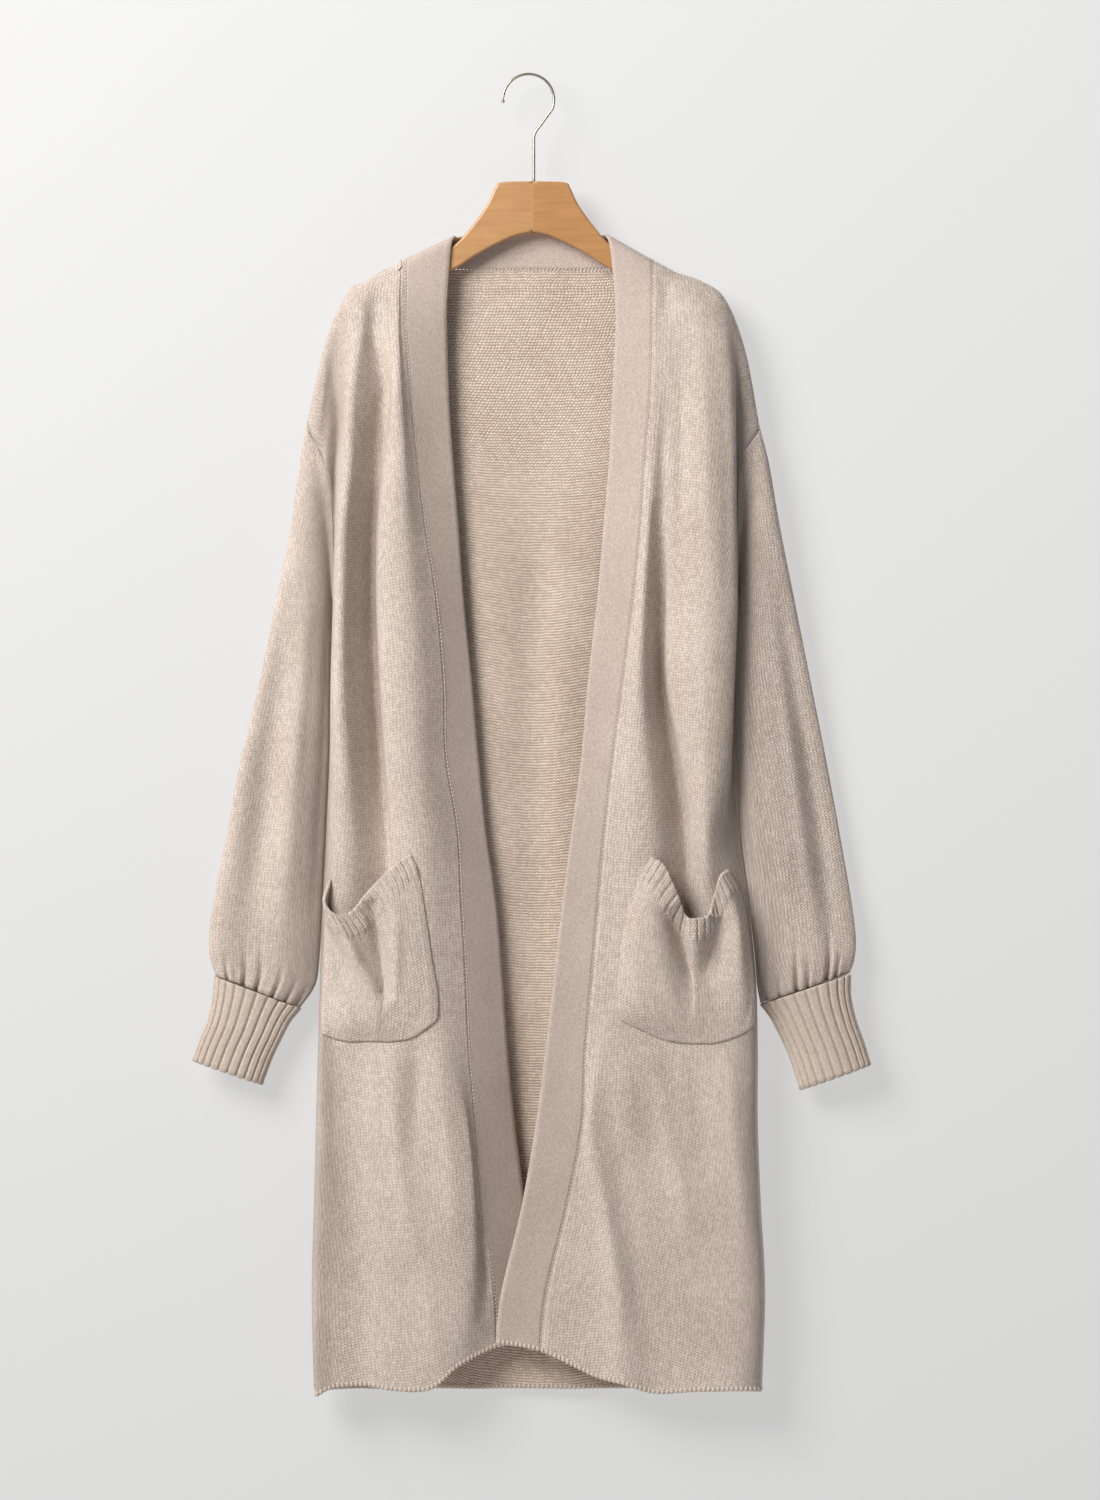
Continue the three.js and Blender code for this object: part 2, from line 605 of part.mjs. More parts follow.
// ---- Pockets ----------------------------------------------------------------------------------------
// A patch pocket is sewn to its front along both sides and its bottom. Its slack mouth sags forwards,
// with a ribbed rim. Where proud is 0 it lies on the front.
const LEFT_POCKET = [
  {
    part: "mouth",
    across: [116, 129, 141, 149, 154, 170, 176, 182, 190],
    drop: [746, 754, 780, 801, 804, 801, 783, 764, 758],
    proud: [0, 36, 38, 33, 41, 39, 33, 31, 0],
  },
  {
    part: "foot of the rim",
    across: [104, 116, 129, 147, 154, 170, 181, 192, 201],
    drop: [768, 776, 798, 823, 826, 823, 806, 785, 777],
    proud: [0, 38, 40, 31, 40, 38, 32, 31, 0],
  },
  {
    part: "slack",
    across: [93, 108, 130, 150, 155, 168, 182, 200, 209],
    drop: [802, 806, 820, 840, 842, 840, 828, 813, 808],
    proud: [0, 38, 40, 30, 37, 36, 31, 32, 0],
  },
  {
    part: "foot of the slack",
    across: [85, 104, 132, 153, 158, 164, 178, 202, 214],
    drop: [862, 862, 864, 867, 867, 866, 864, 862, 860],
    proud: [0, 36, 38, 32, 34, 33, 31, 33, 0],
  },
  {
    part: "flat",
    across: [83, 102, 131, 152, 158, 165, 180, 203, 216],
    drop: [891, 893, 896, 898, 898, 898, 896, 893, 889],
    proud: [0, 33, 35, 34, 34, 33, 32, 31, 0],
  },
  {
    part: "bottom",
    across: [88, 104, 130, 151, 158, 166, 180, 201, 215],
    drop: [901, 909, 920, 923, 923, 923, 922, 915, 906],
    proud: [0, 0, 0, 0, 0, 0, 0, 0, 0],
  },
];
const RIGHT_POCKET = [
  {
    part: "mouth",
    across: [-111, -125, -140, -155, -168, -182, -194, -189],
    drop: [743, 752, 766, 782, 798, 800, 788, 768],
    proud: [0, 38, 36, 34, 37, 39, 34, 0],
  },
  {
    part: "foot of the rim",
    across: [-103, -116, -129, -142, -156, -171, -189, -193],
    drop: [765, 775, 789, 804, 818, 822, 812, 792],
    proud: [0, 38, 37, 32, 34, 39, 30, 0],
  },
  {
    part: "slack",
    across: [-91, -108, -131, -138, -149, -163, -172, -195],
    drop: [845, 846, 848, 848, 848, 849, 850, 848],
    proud: [0, 38, 38, 31, 30, 36, 30, 0],
  },
  {
    part: "foot of the slack",
    across: [-86, -108, -132, -137, -142, -150, -172, -196],
    drop: [873, 874, 875, 875, 875, 875, 874, 872],
    proud: [0, 37, 36, 33, 33, 34, 31, 0],
  },
  {
    part: "flat",
    across: [-86, -108, -132, -138, -145, -153, -173, -197],
    drop: [897, 901, 903, 903, 903, 903, 902, 898],
    proud: [0, 34, 34, 34, 34, 33, 31, 0],
  },
  {
    part: "bottom",
    across: [-92, -110, -130, -138, -146, -155, -175, -196],
    drop: [905, 917, 921, 921, 921, 921, 921, 914],
    proud: [0, 0, 0, 0, 0, 0, 0, 0],
  },
];
const POCKET_COLUMNS = 3 * MOUTH_RIBS;
const RIM_ROWS = [0, 0.5, 0.95];
const POCKET_ROWS = [...RIM_ROWS, 1.1, 1.6, 2, 2.6, 3.2, 4, 5];

// Where a rising function of t from 0 to last reaches a value.
function solve(f, value, last) {
  let [lo, hi] = [0, last];
  for (let k = 0; k < 24; k += 1) {
    const mid = (lo + hi) / 2;
    if (f(mid) < value) lo = mid;
    else hi = mid;
  }
  return (lo + hi) / 2;
}

// How proud a layer lies that is sewn on a front: the front's own surface moved out along its normal.
function onFront({ side, front }, across, drop, distance) {
  const v = solve((t) => through(front.map((row) => [row[SEAM][2]]), t)[0], drop, front.length - 1);
  const row = front[0].map((_, k) => through(front.map((r) => r[k]), v));
  const u = solve((t) => side * through(row, t)[0], side * across, SIDE);
  const [a, b] = [through(row, u - 0.1), through(row, u + 0.1)];
  const slope = (b[1] - a[1]) / (b[0] - a[0]);
  return through(row, u)[1] + distance * Math.hypot(1, slope);
}

function pocketWall(body, table) {
  const rows = table.map(({ across, drop, proud }) => across.map((x, k) => [x, proud[k], drop[k]]));
  const grid = sampled(rows, steps(0, rows[0].length - 1, POCKET_COLUMNS), POCKET_ROWS).map((row) =>
    row.map(([x, proud, drop]) => [x, Math.max(proud, onFront(body, x, drop, KNIT + POCKET_GAP)), drop]),
  );
  return wall(grid, {
    facing: -body.side,
    relief: (i, j) => (i < RIM_ROWS.length && j % 3 !== 0 ? RIB_HEIGHT : 0),
    coarse: (i) => i >= RIM_ROWS.length,
  });
}

// ---- Hanger and hook --------------------------------------------------------------------------------
// Half of the hanger's outline, from the middle of its neck round the arm to the middle underneath:
// how far out from the centre, and the drop.
const HANGER_OUTLINE = [
  [0, WOOD_TOP],
  [30, 102.5],
  [36, 108],
  [42, 121],
  [49, 132],
  [58, 144],
  [70, 158],
  [84, 169],
  [103, 178],
  [119, 185],
  [142, 195],
  [160, 202],
  [172, 211],
  [178, 221],
  [172, 227],
  [150, 217],
  [120, 204],
  [95, 193],
  [73, 184],
  [54, 172],
  [36, 162],
  [17, 153.5],
  [0, 149.5],
];

function hangerWood() {
  const at = (across, drop) => new THREE.Vector2(HANGER_CENTRE + across, -drop);
  const half = (side, rows) => rows.map(([out, drop]) => at(side * out, drop));
  const outline = new THREE.Shape([
    ...half(1, HANGER_OUTLINE),
    ...half(-1, HANGER_OUTLINE.slice(1, -1)).reverse(),
  ]);
  const geometry = new THREE.ExtrudeGeometry(outline, {
    depth: WOOD - 2 * WOOD_EDGE,
    bevelThickness: WOOD_EDGE,
    bevelSize: WOOD_EDGE,
    bevelOffset: -WOOD_EDGE,
    bevelSegments: 2,
  });
  geometry.translate(0, 0, WOOD_EDGE - WOOD / 2);
  return geometry.rotateX(Math.PI / 2);
}

// The hook's wire, from the top of the wood up the shank and round the loop to its rounded end.
const SHANK_TOP = 60; // drop where the straight shank ends
const BENDS = [[5.7, 57], [7.4, 53], [11.5, 47.5]]; // across and drop, from the shank to the loop
const LOOP_START = 0.42; // radians below the loop's centre line, on the +X side
const LOOP_POINTS = 22;
const WIRE_SIDES = 8;
const BALL_SHARES = [0.5, 0.85, 1, 0.85, 0.45]; // of the rounded end's radius, along it

// The middle of a ring of points.
function middle(points) {
  const sum = new THREE.Vector3();
  points.forEach((p) => sum.add(p));
  return sum.divideScalar(points.length);
}

function hookWire() {
  const loopDrop = HOOK_RADIUS - WIRE / 2;
  const loop = steps(-LOOP_START, Math.PI, LOOP_POINTS).map((angle) => [
    HOOK_RADIUS * Math.cos(angle),
    loopDrop - HOOK_RADIUS * Math.sin(angle),
  ]);
  const path = [[SHANK, WOOD_TOP - SEAM_GAP], [SHANK, SHANK_TOP], ...BENDS, ...loop];
  const end = path.pop();
  const ball = BALL_SHARES.map((share, k) => ({
    at: [end[0], end[1] + (k * HOOK_BALL) / BALL_SHARES.length],
    radius: (HOOK_BALL / 2) * share,
  }));
  const stations = [...path.map((at) => ({ at, radius: WIRE / 2 })), ...ball];
  const points = [];
  const rings = stations.map(({ at, radius }, i) => {
    const before = stations[Math.max(0, i - 1)].at;
    const after = stations[Math.min(stations.length - 1, i + 1)].at;
    const along = place([after[0] - before[0], 0, after[1] - before[1]]).normalize();
    const out = along.clone().cross(new THREE.Vector3(0, 1, 0));
    return steps(0, 2 * Math.PI, WIRE_SIDES)
      .slice(1)
      .map((angle) => {
        const offset = out.clone().multiplyScalar(radius * Math.cos(angle));
        offset.y = radius * Math.sin(angle);
        return points.push(place([at[0], 0, at[1]]).add(offset)) - 1;
      });
  });
  const faces = [];
  rings.slice(1).forEach((next, i) => strip(faces, rings[i], next, true));
  const cap = (round) => {
    const centre = points.push(middle(round.map((k) => points[k]))) - 1;
    round.forEach((k, j) => faces.push([centre, k, round[(j + 1) % round.length]]));
  };
  cap(rings[0]);
  cap([...rings.at(-1)].reverse());
  return solid(points, faces);
}

// ---- The garment ------------------------------------------------------------------------------------
const knit = (color) => new THREE.MeshStandardMaterial({ color, roughness: 0.95, metalness: 0 });
const BODY_KNIT = knit(0xcdbeb0);
const BAND_MATERIAL = knit(0xc3b2a4);
const RIBBING = knit(0xcbbaaa);
const OAK = new THREE.MeshStandardMaterial({ color: 0xc8955c, roughness: 0.45, metalness: 0 });
const STEEL = new THREE.MeshStandardMaterial({ color: 0xa39a8f, roughness: 0.35, metalness: 0.9 });

const group = new THREE.Group();
function add(name, geometry, material) {
  const mesh = new THREE.Mesh(geometry, material);
  mesh.name = name;
  group.add(mesh);
}

add("back", backWall(), BODY_KNIT);
add("band", bandWall(), BAND_MATERIAL);
SIDES.forEach((body) => {
  const left = body === LEFT;
  add(`front_${body.name}`, frontWall(body), BODY_KNIT);
  add(`sleeve_${body.name}`, sleeveWall(body, left ? LEFT_SLEEVE : RIGHT_SLEEVE), BODY_KNIT);
  add(`cuff_${body.name}`, cuffWall(body, left ? LEFT_CUFF : RIGHT_CUFF), RIBBING);
  add(`pocket_${body.name}`, pocketWall(body, left ? LEFT_POCKET : RIGHT_POCKET), RIBBING);
});
add("hanger", hangerWood(), OAK);
add("hook", hookWire(), STEEL);

export default group;
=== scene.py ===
"""A long open-front knit cardigan on a wooden hanger: the looks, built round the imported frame.

Tables and sizes are in millimetres and the scene is in metres. Three measures place every point:
  across  along X, from the hook
  proud   towards whoever faces the garment (so y = -proud)
  drop    below the hook's rest (so z = -drop)
"Left" and "right" are the wearer's, so the left front is on the +X side.
"""
import math

import bmesh
import bpy
import numpy as np
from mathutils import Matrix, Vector, noise


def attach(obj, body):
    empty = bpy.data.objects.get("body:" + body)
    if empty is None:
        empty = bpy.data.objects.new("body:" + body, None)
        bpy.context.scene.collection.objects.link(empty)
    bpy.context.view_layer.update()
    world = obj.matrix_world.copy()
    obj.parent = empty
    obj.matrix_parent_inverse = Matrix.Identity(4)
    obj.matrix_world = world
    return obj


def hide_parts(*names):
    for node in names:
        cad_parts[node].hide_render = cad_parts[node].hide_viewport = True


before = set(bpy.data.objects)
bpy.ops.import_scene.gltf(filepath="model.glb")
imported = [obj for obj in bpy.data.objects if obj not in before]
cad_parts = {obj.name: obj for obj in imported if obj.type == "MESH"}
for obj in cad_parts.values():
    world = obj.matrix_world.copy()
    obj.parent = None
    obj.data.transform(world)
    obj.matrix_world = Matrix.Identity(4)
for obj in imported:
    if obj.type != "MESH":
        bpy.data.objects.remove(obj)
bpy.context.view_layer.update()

MM = 0.001

# ---- Driving sizes ----
SEAM_GAP = 0.25  # between two sewn pieces
KNIT = 2.0  # wall of the plain knit
BAND_KNIT = 2.2  # wall of the front band
RIB_KNIT = 1.8  # wall of the ribbing, under its ribs
RIB_HEIGHT = 1.3  # how far a rib stands out
CUFF_RIBS = 24  # round one cuff
MOUTH_RIBS = 20  # along one pocket mouth
NECK_GAP = 0.4  # between the band and the back's top edge
POCKET_GAP = 0.6  # between a pocket and the front it is sewn on
POCKET_EDGE = 1.3  # how far a pocket's sewn edge stands out from that front
SEWN_BULGE = 0.06  # how round a sewn edge is, in thicknesses of its cloth
FREE_BULGE = 0.4  # and a free edge
STEP = 4.0  # between the points of a fine grid
FRONT_STEP = 3.2  # between its columns on a front
BACK_STEP = 4.2  # and on the back
CUFF_STEP = 3.0  # between its rows on a cuff
WALE = 3.3  # width of a knit stitch
COURSE = 2.7  # height of a knit stitch

WIRE = 2.6  # hook wire diameter
HOOK_RADIUS = 24.3  # of the loop, to the middle of the wire
HOOK_BALL = 3.6  # diameter of the hook's rounded end
SHANK = 5.2  # across of the hook's straight shank
WOOD_TOP = 101.5  # drop of the top of the hanger's neck
HANGER_CENTRE = 4  # across, of the middle of the hanger

# ---- The nets ----
# A panel is a net: its rows are heights and its columns are the lines that shape it. A row of these
# tables holds its drop, or the drop of each line, then how far across and how proud each line is.
# A front's first line is the free edge of the front band and its second the band's seam.
# Left: edge, seam, roll, valley, rise, crest, fold, tuck, side.
LEFT_FRONT = [
    ([152,177,180.5,185,190,197.5,215,264,337], [72,118,125,133,143,165,188,207,221],
     [-4,-4,-4,-4,-4,-4,-4,-3,-2]),
    ([151,176,179.5,184,189,196.5,214,263,337], [74,118,125,133,143,165,188,207,221],
     [2,2,2,2,2,2,2,2,1]),
    ([156,180,183.5,188,193,200.5,218,266,339], [76,118,125,133,143,165,188,207,220],
     [8,9,9,9,9,9,8,6,4]),
    ([170,191,194,198,202,209.5,226,272,344], [79,118,125,133,143,165,188,205,217],
     [9,12,12,12,13,13,12,9,6]),
    ([215,215,216,217,218.5,222.5,238,282,353], [83,117,124.5,132.5,143,165,189,203,211],
     [9,15,15,14,17,19,15,10,7]),
    ([250,250,250,250,251,254,264,302,363], [83,117,124,132,142,166,191,200,205],
     [10,18,19,20,21,24,20,9,8]),
    ([310,310,310,310,310,311,316,336,378], [80,115,123,131,141,168,194,198,201],
     [11,20,21,21,23,30,25,9,8]),
    ([370,370,370,370,370,370,371,380,402], [77,110,119,128,139,170,195,198,199],
     [12,21,23,20,24,33,27,9,7]),
    ([430,430,430,430,430,430,430,436,448], [72,106,115,128,138,171,196,197,198],
     [14,22,25,16,22,35,28,9,5]),
    (500, [66,99,111,127.5,136,171,197,197,197], [16,23,28,8,20,36,28,8,1]),
    (580, [57,89,108,127,136,168,194,194,194], [19,24,30,4,20,36,28,8,1]),
    (650, [51,80,112,139,147,168,190,194,196], [21,24,30,2,19,35,28,9,1]),
    (720, [42,72,118,148,155,168,181,191,201], [23,24,30,3,19,34,27,13,1]),
    (790, [33,66,114,147,155,168,181,198,210], [25,24,29,6,10,18,19,15,1]),
    (860, [25,60,96,130,150,167,190,212,217], [26,24,27,20,21,24,26,21,1]),
    (930, [17,54,72,105,135,160,193,214,219], [27,23,27,26,24,26,28,22,1]),
    (1000, [8,51,60,84,115,150,193,214,219], [28,22,26,27,23,26,28,22,1]),
    (1080, [-6,36,58,80,118,154,196,217,222], [28,21,23,28,23,26,28,22,1]),
    (1160, [-25,17,60,88,120,156,200,221,226], [28,21,22,28,23,26,28,22,1]),
    ([1207,1215,1239,1246,1255,1253,1252,1253,1255], [-30,11,62,90,120,156,198,218,223],
     [28,21,22,28,23,26,28,21,1]),
]

# Right: edge, seam, roll, fall, valley, crest, fold, tuck, side.
RIGHT_FRONT = [
    ([154,176,179,184,191,199,208,253,333], [-69,-117,-123,-132,-146,-159,-173,-193,-212],
     [-4,-4,-4,-4,-4,-4,-4,-3,-2]),
    ([153,175,178,183,190,198,207,252,333], [-71,-117,-123,-132,-146,-159,-173,-193,-212],
     [2,2,2,2,2,2,2,2,1]),
    ([158,179,182,187,194,202,211,255,335], [-73,-117,-123,-132,-146,-159,-173,-193,-211],
     [8,9,9,9,9,9,8,6,4]),
    ([172,190,193,198,203,210,219,262,341], [-75,-117,-123,-132,-146,-159,-174,-192,-209],
     [9,12,13,13,12,13,12,9,6]),
    ([215,215,215,217,219,224,232,272,350], [-78,-117,-124,-133,-146,-159,-174,-190,-204],
     [9,15,18,17,14,18,15,10,7]),
    ([250,250,250,250,252,255,262,298,361], [-78,-116,-124,-133,-147,-160,-174,-187,-198],
     [6,18,23,20,14,23,18,9,8]),
    ([310,310,310,310,310,311,316,334,376], [-76,-111,-121,-129,-137,-166,-176,-182,-193],
     [5,19,29,27,9,29,20,7,10]),
    ([370,370,370,370,370,370,371,378,400], [-72,-105,-119,-135,-143,-168,-179,-184,-188],
     [4,19,32,27,5,32,22,6,6]),
    ([430,430,430,430,430,430,430,435,448], [-67,-98,-118,-140,-148,-173,-183,-184.5,-185.5],
     [3,19,34,28,2,34,24,7,3]),
    (500, [-62,-87,-113,-141.5,-148.5,-175,-185,-185.5,-185.5], [3,18,35,29,0,34,26,8,1]),
    (580, [-54,-80,-109,-138.5,-145.5,-175,-187,-188,-188], [2,18,36,30,0,33,26,8,1]),
    (650, [-48,-78,-106,-134,-141.5,-172,-187,-189.5,-190], [2,18,36,31,-1,31,23,9,1]),
    (720, [-41,-67,-98,-129,-136,-168,-187,-192,-193], [2,17,35,30,3,27,22,12,1]),
    (790, [-31,-63,-99,-126,-133,-168,-186,-194,-196.5], [1,18,34,29,9,24,22,14,1]),
    (860, [-25,-59,-96,-127,-140,-163,-186,-196,-199], [0,18,33,28,16,23,22,17,1]),
    (930, [-20,-56,-80,-112,-138,-160,-184,-197,-201], [-1,19,31,30,29,23,23,24,1]),
    (1000, [-13,-50,-61,-96,-135,-160,-182,-198,-203], [-3,19,30,32,31,22,24,26,1]),
    (1080, [-4,-44,-54,-92,-134,-160,-183,-200,-205], [-3,15,28,33,31,22,25,27,1]),
    (1160, [-2,-32,-55,-90,-132,-160,-185,-202,-207], [-1,10,27,32,30,22,25,27,1]),
    ([1210,1213,1229,1250,1252,1248,1250,1257,1255], [-1,-30,-66,-92,-125,-157,-185,-201,-205],
     [1,8,26,31,29,22,24,25,1]),
]

# A patch pocket is sewn on at its sides and bottom, where proud is 0: there it lies on the front.
# Its rows are its mouth, the foot of the rim, the slack, the slack's foot, the flat and the bottom.
LEFT_POCKET = [
    ([746,754,780,801,804,801,783,764,758], [116,129,141,149,154,170,176,182,190],
     [0,36,38,33,41,39,33,31,0]),
    ([768,776,798,823,826,823,806,785,777], [104,116,129,147,154,170,181,192,201],
     [0,38,40,31,40,38,32,31,0]),
    ([802,806,820,840,842,840,828,813,808], [93,108,130,150,155,168,182,200,209],
     [0,38,40,30,37,36,31,32,0]),
    ([862,862,864,867,867,866,864,862,860], [85,104,132,153,158,164,178,202,214],
     [0,36,38,32,34,33,31,33,0]),
    ([891,893,896,898,898,898,896,893,889], [83,102,131,152,158,165,180,203,216],
     [0,33,35,34,34,33,32,31,0]),
    ([901,909,920,923,923,923,922,915,906], [88,104,130,151,158,166,180,201,215],
     [0,0,0,0,0,0,0,0,0]),
]

RIGHT_POCKET = [
    ([743,752,766,782,798,800,788,768], [-111,-125,-140,-155,-168,-182,-194,-189],
     [0,38,36,34,37,39,34,0]),
    ([765,775,789,804,818,822,812,792], [-103,-116,-129,-142,-156,-171,-189,-193],
     [0,38,37,32,34,39,30,0]),
    ([845,846,848,848,848,849,850,848], [-91,-108,-131,-138,-149,-163,-172,-195],
     [0,38,38,31,30,36,30,0]),
    ([873,874,875,875,875,875,874,872], [-86,-108,-132,-137,-142,-150,-172,-196],
     [0,37,36,33,33,34,31,0]),
    ([897,901,903,903,903,903,902,898], [-86,-108,-132,-138,-145,-153,-173,-197],
     [0,34,34,34,34,33,31,0]),
    ([905,917,921,921,921,921,921,914], [-92,-110,-130,-138,-146,-155,-175,-196],
     [0,0,0,0,0,0,0,0]),
]

# A ring runs from a sleeve's outer fold across its front to the inner fold and back behind. A row
# holds the outer fold's across and drop, the inner fold's, half the ring's depth and how late its
# drop falls.
LEFT_SLEEVE = [
    (230, 372, 198.4, 516, 10, 4), (240, 430, 197.4, 535, 13, 2.6),
    (254, 500, 195.5, 566, 15, 1.6), (270, 580, 194.7, 612, 16, 1),
    (284, 650, 197.2, 668, 17, 1), (297, 720, 202.3, 730, 18, 1),
    (309, 790, 210.8, 795, 18, 1), (313, 826, 215.8, 838, 16, 1),
    (311, 846, 218.2, 868, 13, 1), (307, 857, 221.5, 886, 9, 1),
]

RIGHT_SLEEVE = [
    (-219, 370, -187.2, 516, 10, 4), (-227, 430, -187.8, 535, 13, 2.6),
    (-241, 500, -188.8, 566, 15, 1.6), (-257, 580, -189.2, 612, 16, 1),
    (-274, 650, -190.8, 668, 17, 1), (-287, 720, -193.6, 730, 18, 1),
    (-301, 790, -196.9, 795, 18, 1), (-305, 826, -199.4, 838, 16, 1),
    (-303, 847, -203.5, 868, 13, 1), (-299, 859, -218, 890, 9, 1),
]

LEFT_CUFF = [
    (307, 858, 222, 887, 9.5, 1), (307, 879, 232, 900, 8.5, 1),
    (312, 902, 242, 919, 8.5, 1), (319, 922, 251, 940, 8.5, 1),
    (326, 944, 260, 968, 9, 1),
]

RIGHT_CUFF = [
    (-299.5, 860, -218, 891, 9.5, 1), (-301, 881, -228, 903, 8.5, 1),
    (-306, 904, -237, 920, 8.5, 1), (-313, 921, -246, 939, 8.5, 1),
    (-320, 940, -255, 963, 9, 1),
]

# Half of the hanger as pairs of out and drop, from the middle of its neck round the arm to the
# middle underneath.
HANGER_OUTLINE = [
    [0, WOOD_TOP], [30, 102.5], [36, 108], [42, 121], [49, 132], [58, 144], [70, 158], [84, 169],
    [103, 178], [119, 185], [142, 195], [160, 202], [172, 211], [178, 221], [172, 227], [150, 217],
    [120, 204], [95, 193], [73, 184], [54, 172], [36, 162], [17, 153.5], [0, 149.5],
]

EDGE, SEAM, CREST, FOLD, TUCK, SIDE = 0, 1, 5, 6, 7, 8
UNDERARM = 9  # the row of the fronts' nets at the underarm
SPACING_ROW = 10  # the row of a net whose lengths set how many columns its fine grid has
NECK = [  # the band behind the neck, from left to right: its edge and its seam
    ([64, -10, 151], [100, -11, 180.5]),
    ([40, -12.5, 150], [60, -13, 184]),
    ([2, -13, 149], [2, -13.5, 184]),
    ([-37, -12.5, 150], [-58, -13, 184]),
    ([-61, -10, 152], [-99, -11, 180.5]),
]
NECK_PLACES = 90  # rows of the band's fine grid there
BAND_COLUMNS = 13
# How far behind y = 0 the back hangs, at each of its net's rows.
BACK_DEPTH = [4.4, 8, 11, 12.5, 13, 14, 14, 14, 14, 14, 14, 14, 14, 14, 14, 15, 16, 16, 16, 16]
SHOULDER_END_DEPTH = 3  # and at the shoulder's end
ARMHOLE_DEPTH = [2, 3.5, 6, 8, 9, 9.5, 9.5, 8, 5]  # and down the armhole
NECK_DROP = 182  # the least drop of the back's top edge
# The depth and drop of the back's rows under its neck.
UNDER_NECK = {1: (13.4, 188), 2: (13.6, 194), 3: (13.8, 202), 4: (14, 215)}
SPREAD_ROWS = (4, 9)  # between these rows the back's lines spread out evenly
RIPPLE_DEPTH = 2.5  # of the back's ripples, below those rows
RIPPLE_PITCH = 2.1  # radians from one line to the next
RIPPLE_SLANT = 0.12  # and from one row to the next
BESIDE_SEAM = 3.5  # how proud the back swells beside its side seams
BACK_LINES = [SIDE, TUCK, FOLD, CREST, SEAM]
ARMHOLE_SHIFT = 0.3  # from the armhole's edge out and down to the sleeve's
SHOULDER_END = 30  # added to the side's distance, for the columns that the shoulder's end needs
SHOULDER_FADE = 50  # how far below the shoulder seam the back is still bent to meet the front
FULLNESS = 0.8  # of a ring: at 1 it is an ellipse, and under 1 it is squarer
HELD_BY = (25, 8, 12)  # how far the shoulder, band and side seams keep a front from folding
PATH_PLACES = 12  # tried on a crease's path for each of its points
EDGE_PLACES = 240  # along a front's shoulder, where the back looks for it
WAVE = 60.0  # length of the waves of hanging knit's unevenness, across
WAVE_DEPTH = 0.7
TALLER, FINER, FAINTER = 1.8, 2.7, 0.4  # how waves run down, and how a second set of them compares


# ---- Splines and grids ----
def lerp(a, b, t):
    return a + (b - a) * t


def norm(v):
    return np.linalg.norm(v, axis=-1)


def unit(v):
    return v / np.maximum(norm(v), 1e-12)[..., None]


def through(points, t):
    """The smooth curve through points, at places t from 0 to their number less 1."""
    p = np.asarray(points, float)
    last = len(p) - 1
    t = np.atleast_1d(np.asarray(t, float))
    i = np.clip(np.floor(t).astype(int), 0, last - 1)
    tall = (-1,) + (1,) * (p.ndim - 1)
    f = (t - i).reshape(tall)
    a, b = p[i], p[i + 1]
    start = np.where((i > 0).reshape(tall), (b - p[np.maximum(i - 1, 0)]) / 2, b - a)
    end = np.where((i + 1 < last).reshape(tall), (p[np.minimum(i + 2, last)] - a) / 2, b - a)
    bend = 3 * (b - a) - 2 * start - end
    return a + f * (start + f * (bend + f * (start + end - 2 * (b - a))))


def sampled(rows, us, vs):
    """The points of a net's surface at every u, which counts lines, and v, which counts rows."""
    fine = through(np.swapaxes(np.asarray(rows, float), 0, 1), us)
    return through(np.swapaxes(fine, 0, 1), vs)


def places(points, step=STEP):
    """Places along a row of points, each stretch between two of them divided into equal steps."""
    p = np.asarray(points, float)
    made = [0.0]
    for i, length in enumerate(norm(np.diff(p, axis=0))):
        count = max(2, math.ceil(length / step))
        made += [i + (k + 1) / count for k in range(count)]
    return np.array(made)


def net(table):
    """A net's points, as across, proud and drop."""
    return np.array([np.column_stack([across, proud, np.broadcast_to(drop, len(across))])
                     for drop, across, proud in table], float)


def hump(t, centre, width):
    """A smooth bump, 1 at its centre."""
    return np.exp(-(((t - centre) / width) ** 2))


LEFT = {"name": "left", "side": 1, "front": net(LEFT_FRONT)}
RIGHT = {"name": "right", "side": -1, "front": net(RIGHT_FRONT)}
FRONT_ROWS = places(LEFT["front"][:, CREST])


def distance_to(grid, path):
    """For each point of a grid, its distance to a path on the front and how far along it lies."""
    line = through(path, np.linspace(0, len(path) - 1, PATH_PLACES * len(path)))
    best = np.full(grid.shape[:2], np.inf)
    along = np.zeros(grid.shape[:2])
    for k, (x, drop) in enumerate(line):
        d = np.hypot(grid[..., 0] - x, grid[..., 2] - drop)
        along = np.where(d < best, k / (len(line) - 1), along)
        best = np.minimum(best, d)
    return best, along


def freedom(grid):
    """How free each point of a front is to fold: from 0 at its sewn edges to 1 well inside them."""
    edges = zip((grid[:1], grid[:, :1], grid[:, -1:]), HELD_BY)
    inside = [norm(grid - edge) / reach for edge, reach in edges]
    return np.clip(np.minimum.reduce(inside), 0, 1)


def creased(grid, table, free=1.0):
    """A grid with a table's ridges and troughs laid on it, where the cloth is free."""
    for depth, width, power, path in table:
        d, along = distance_to(grid, np.reshape(path, (-1, 2)))
        grid[..., 1] += depth * np.sin(np.pi * along) ** power * hump(d, 0, width) * free
    return grid


def uneven(grid):
    """A grid with the slight unevenness of hanging knit."""
    for row in grid:
        for p in row:
            at = Vector((p[0] / WAVE, p[1] / WAVE, p[2] / (WAVE * TALLER)))
            p[1] += WAVE_DEPTH * noise.noise(at) + WAVE_DEPTH * FAINTER * noise.noise(at * FINER)
    return grid


# ---- Cloth meshes ----
def scene_points(grid):
    return np.stack([grid[..., 0], -grid[..., 1], -grid[..., 2]], axis=-1) * MM


def wrapped(a, closed):
    """An array with its first column again after its last, where the columns close into a ring."""
    return np.concatenate([a, a[:, :1]], axis=1) if closed else a


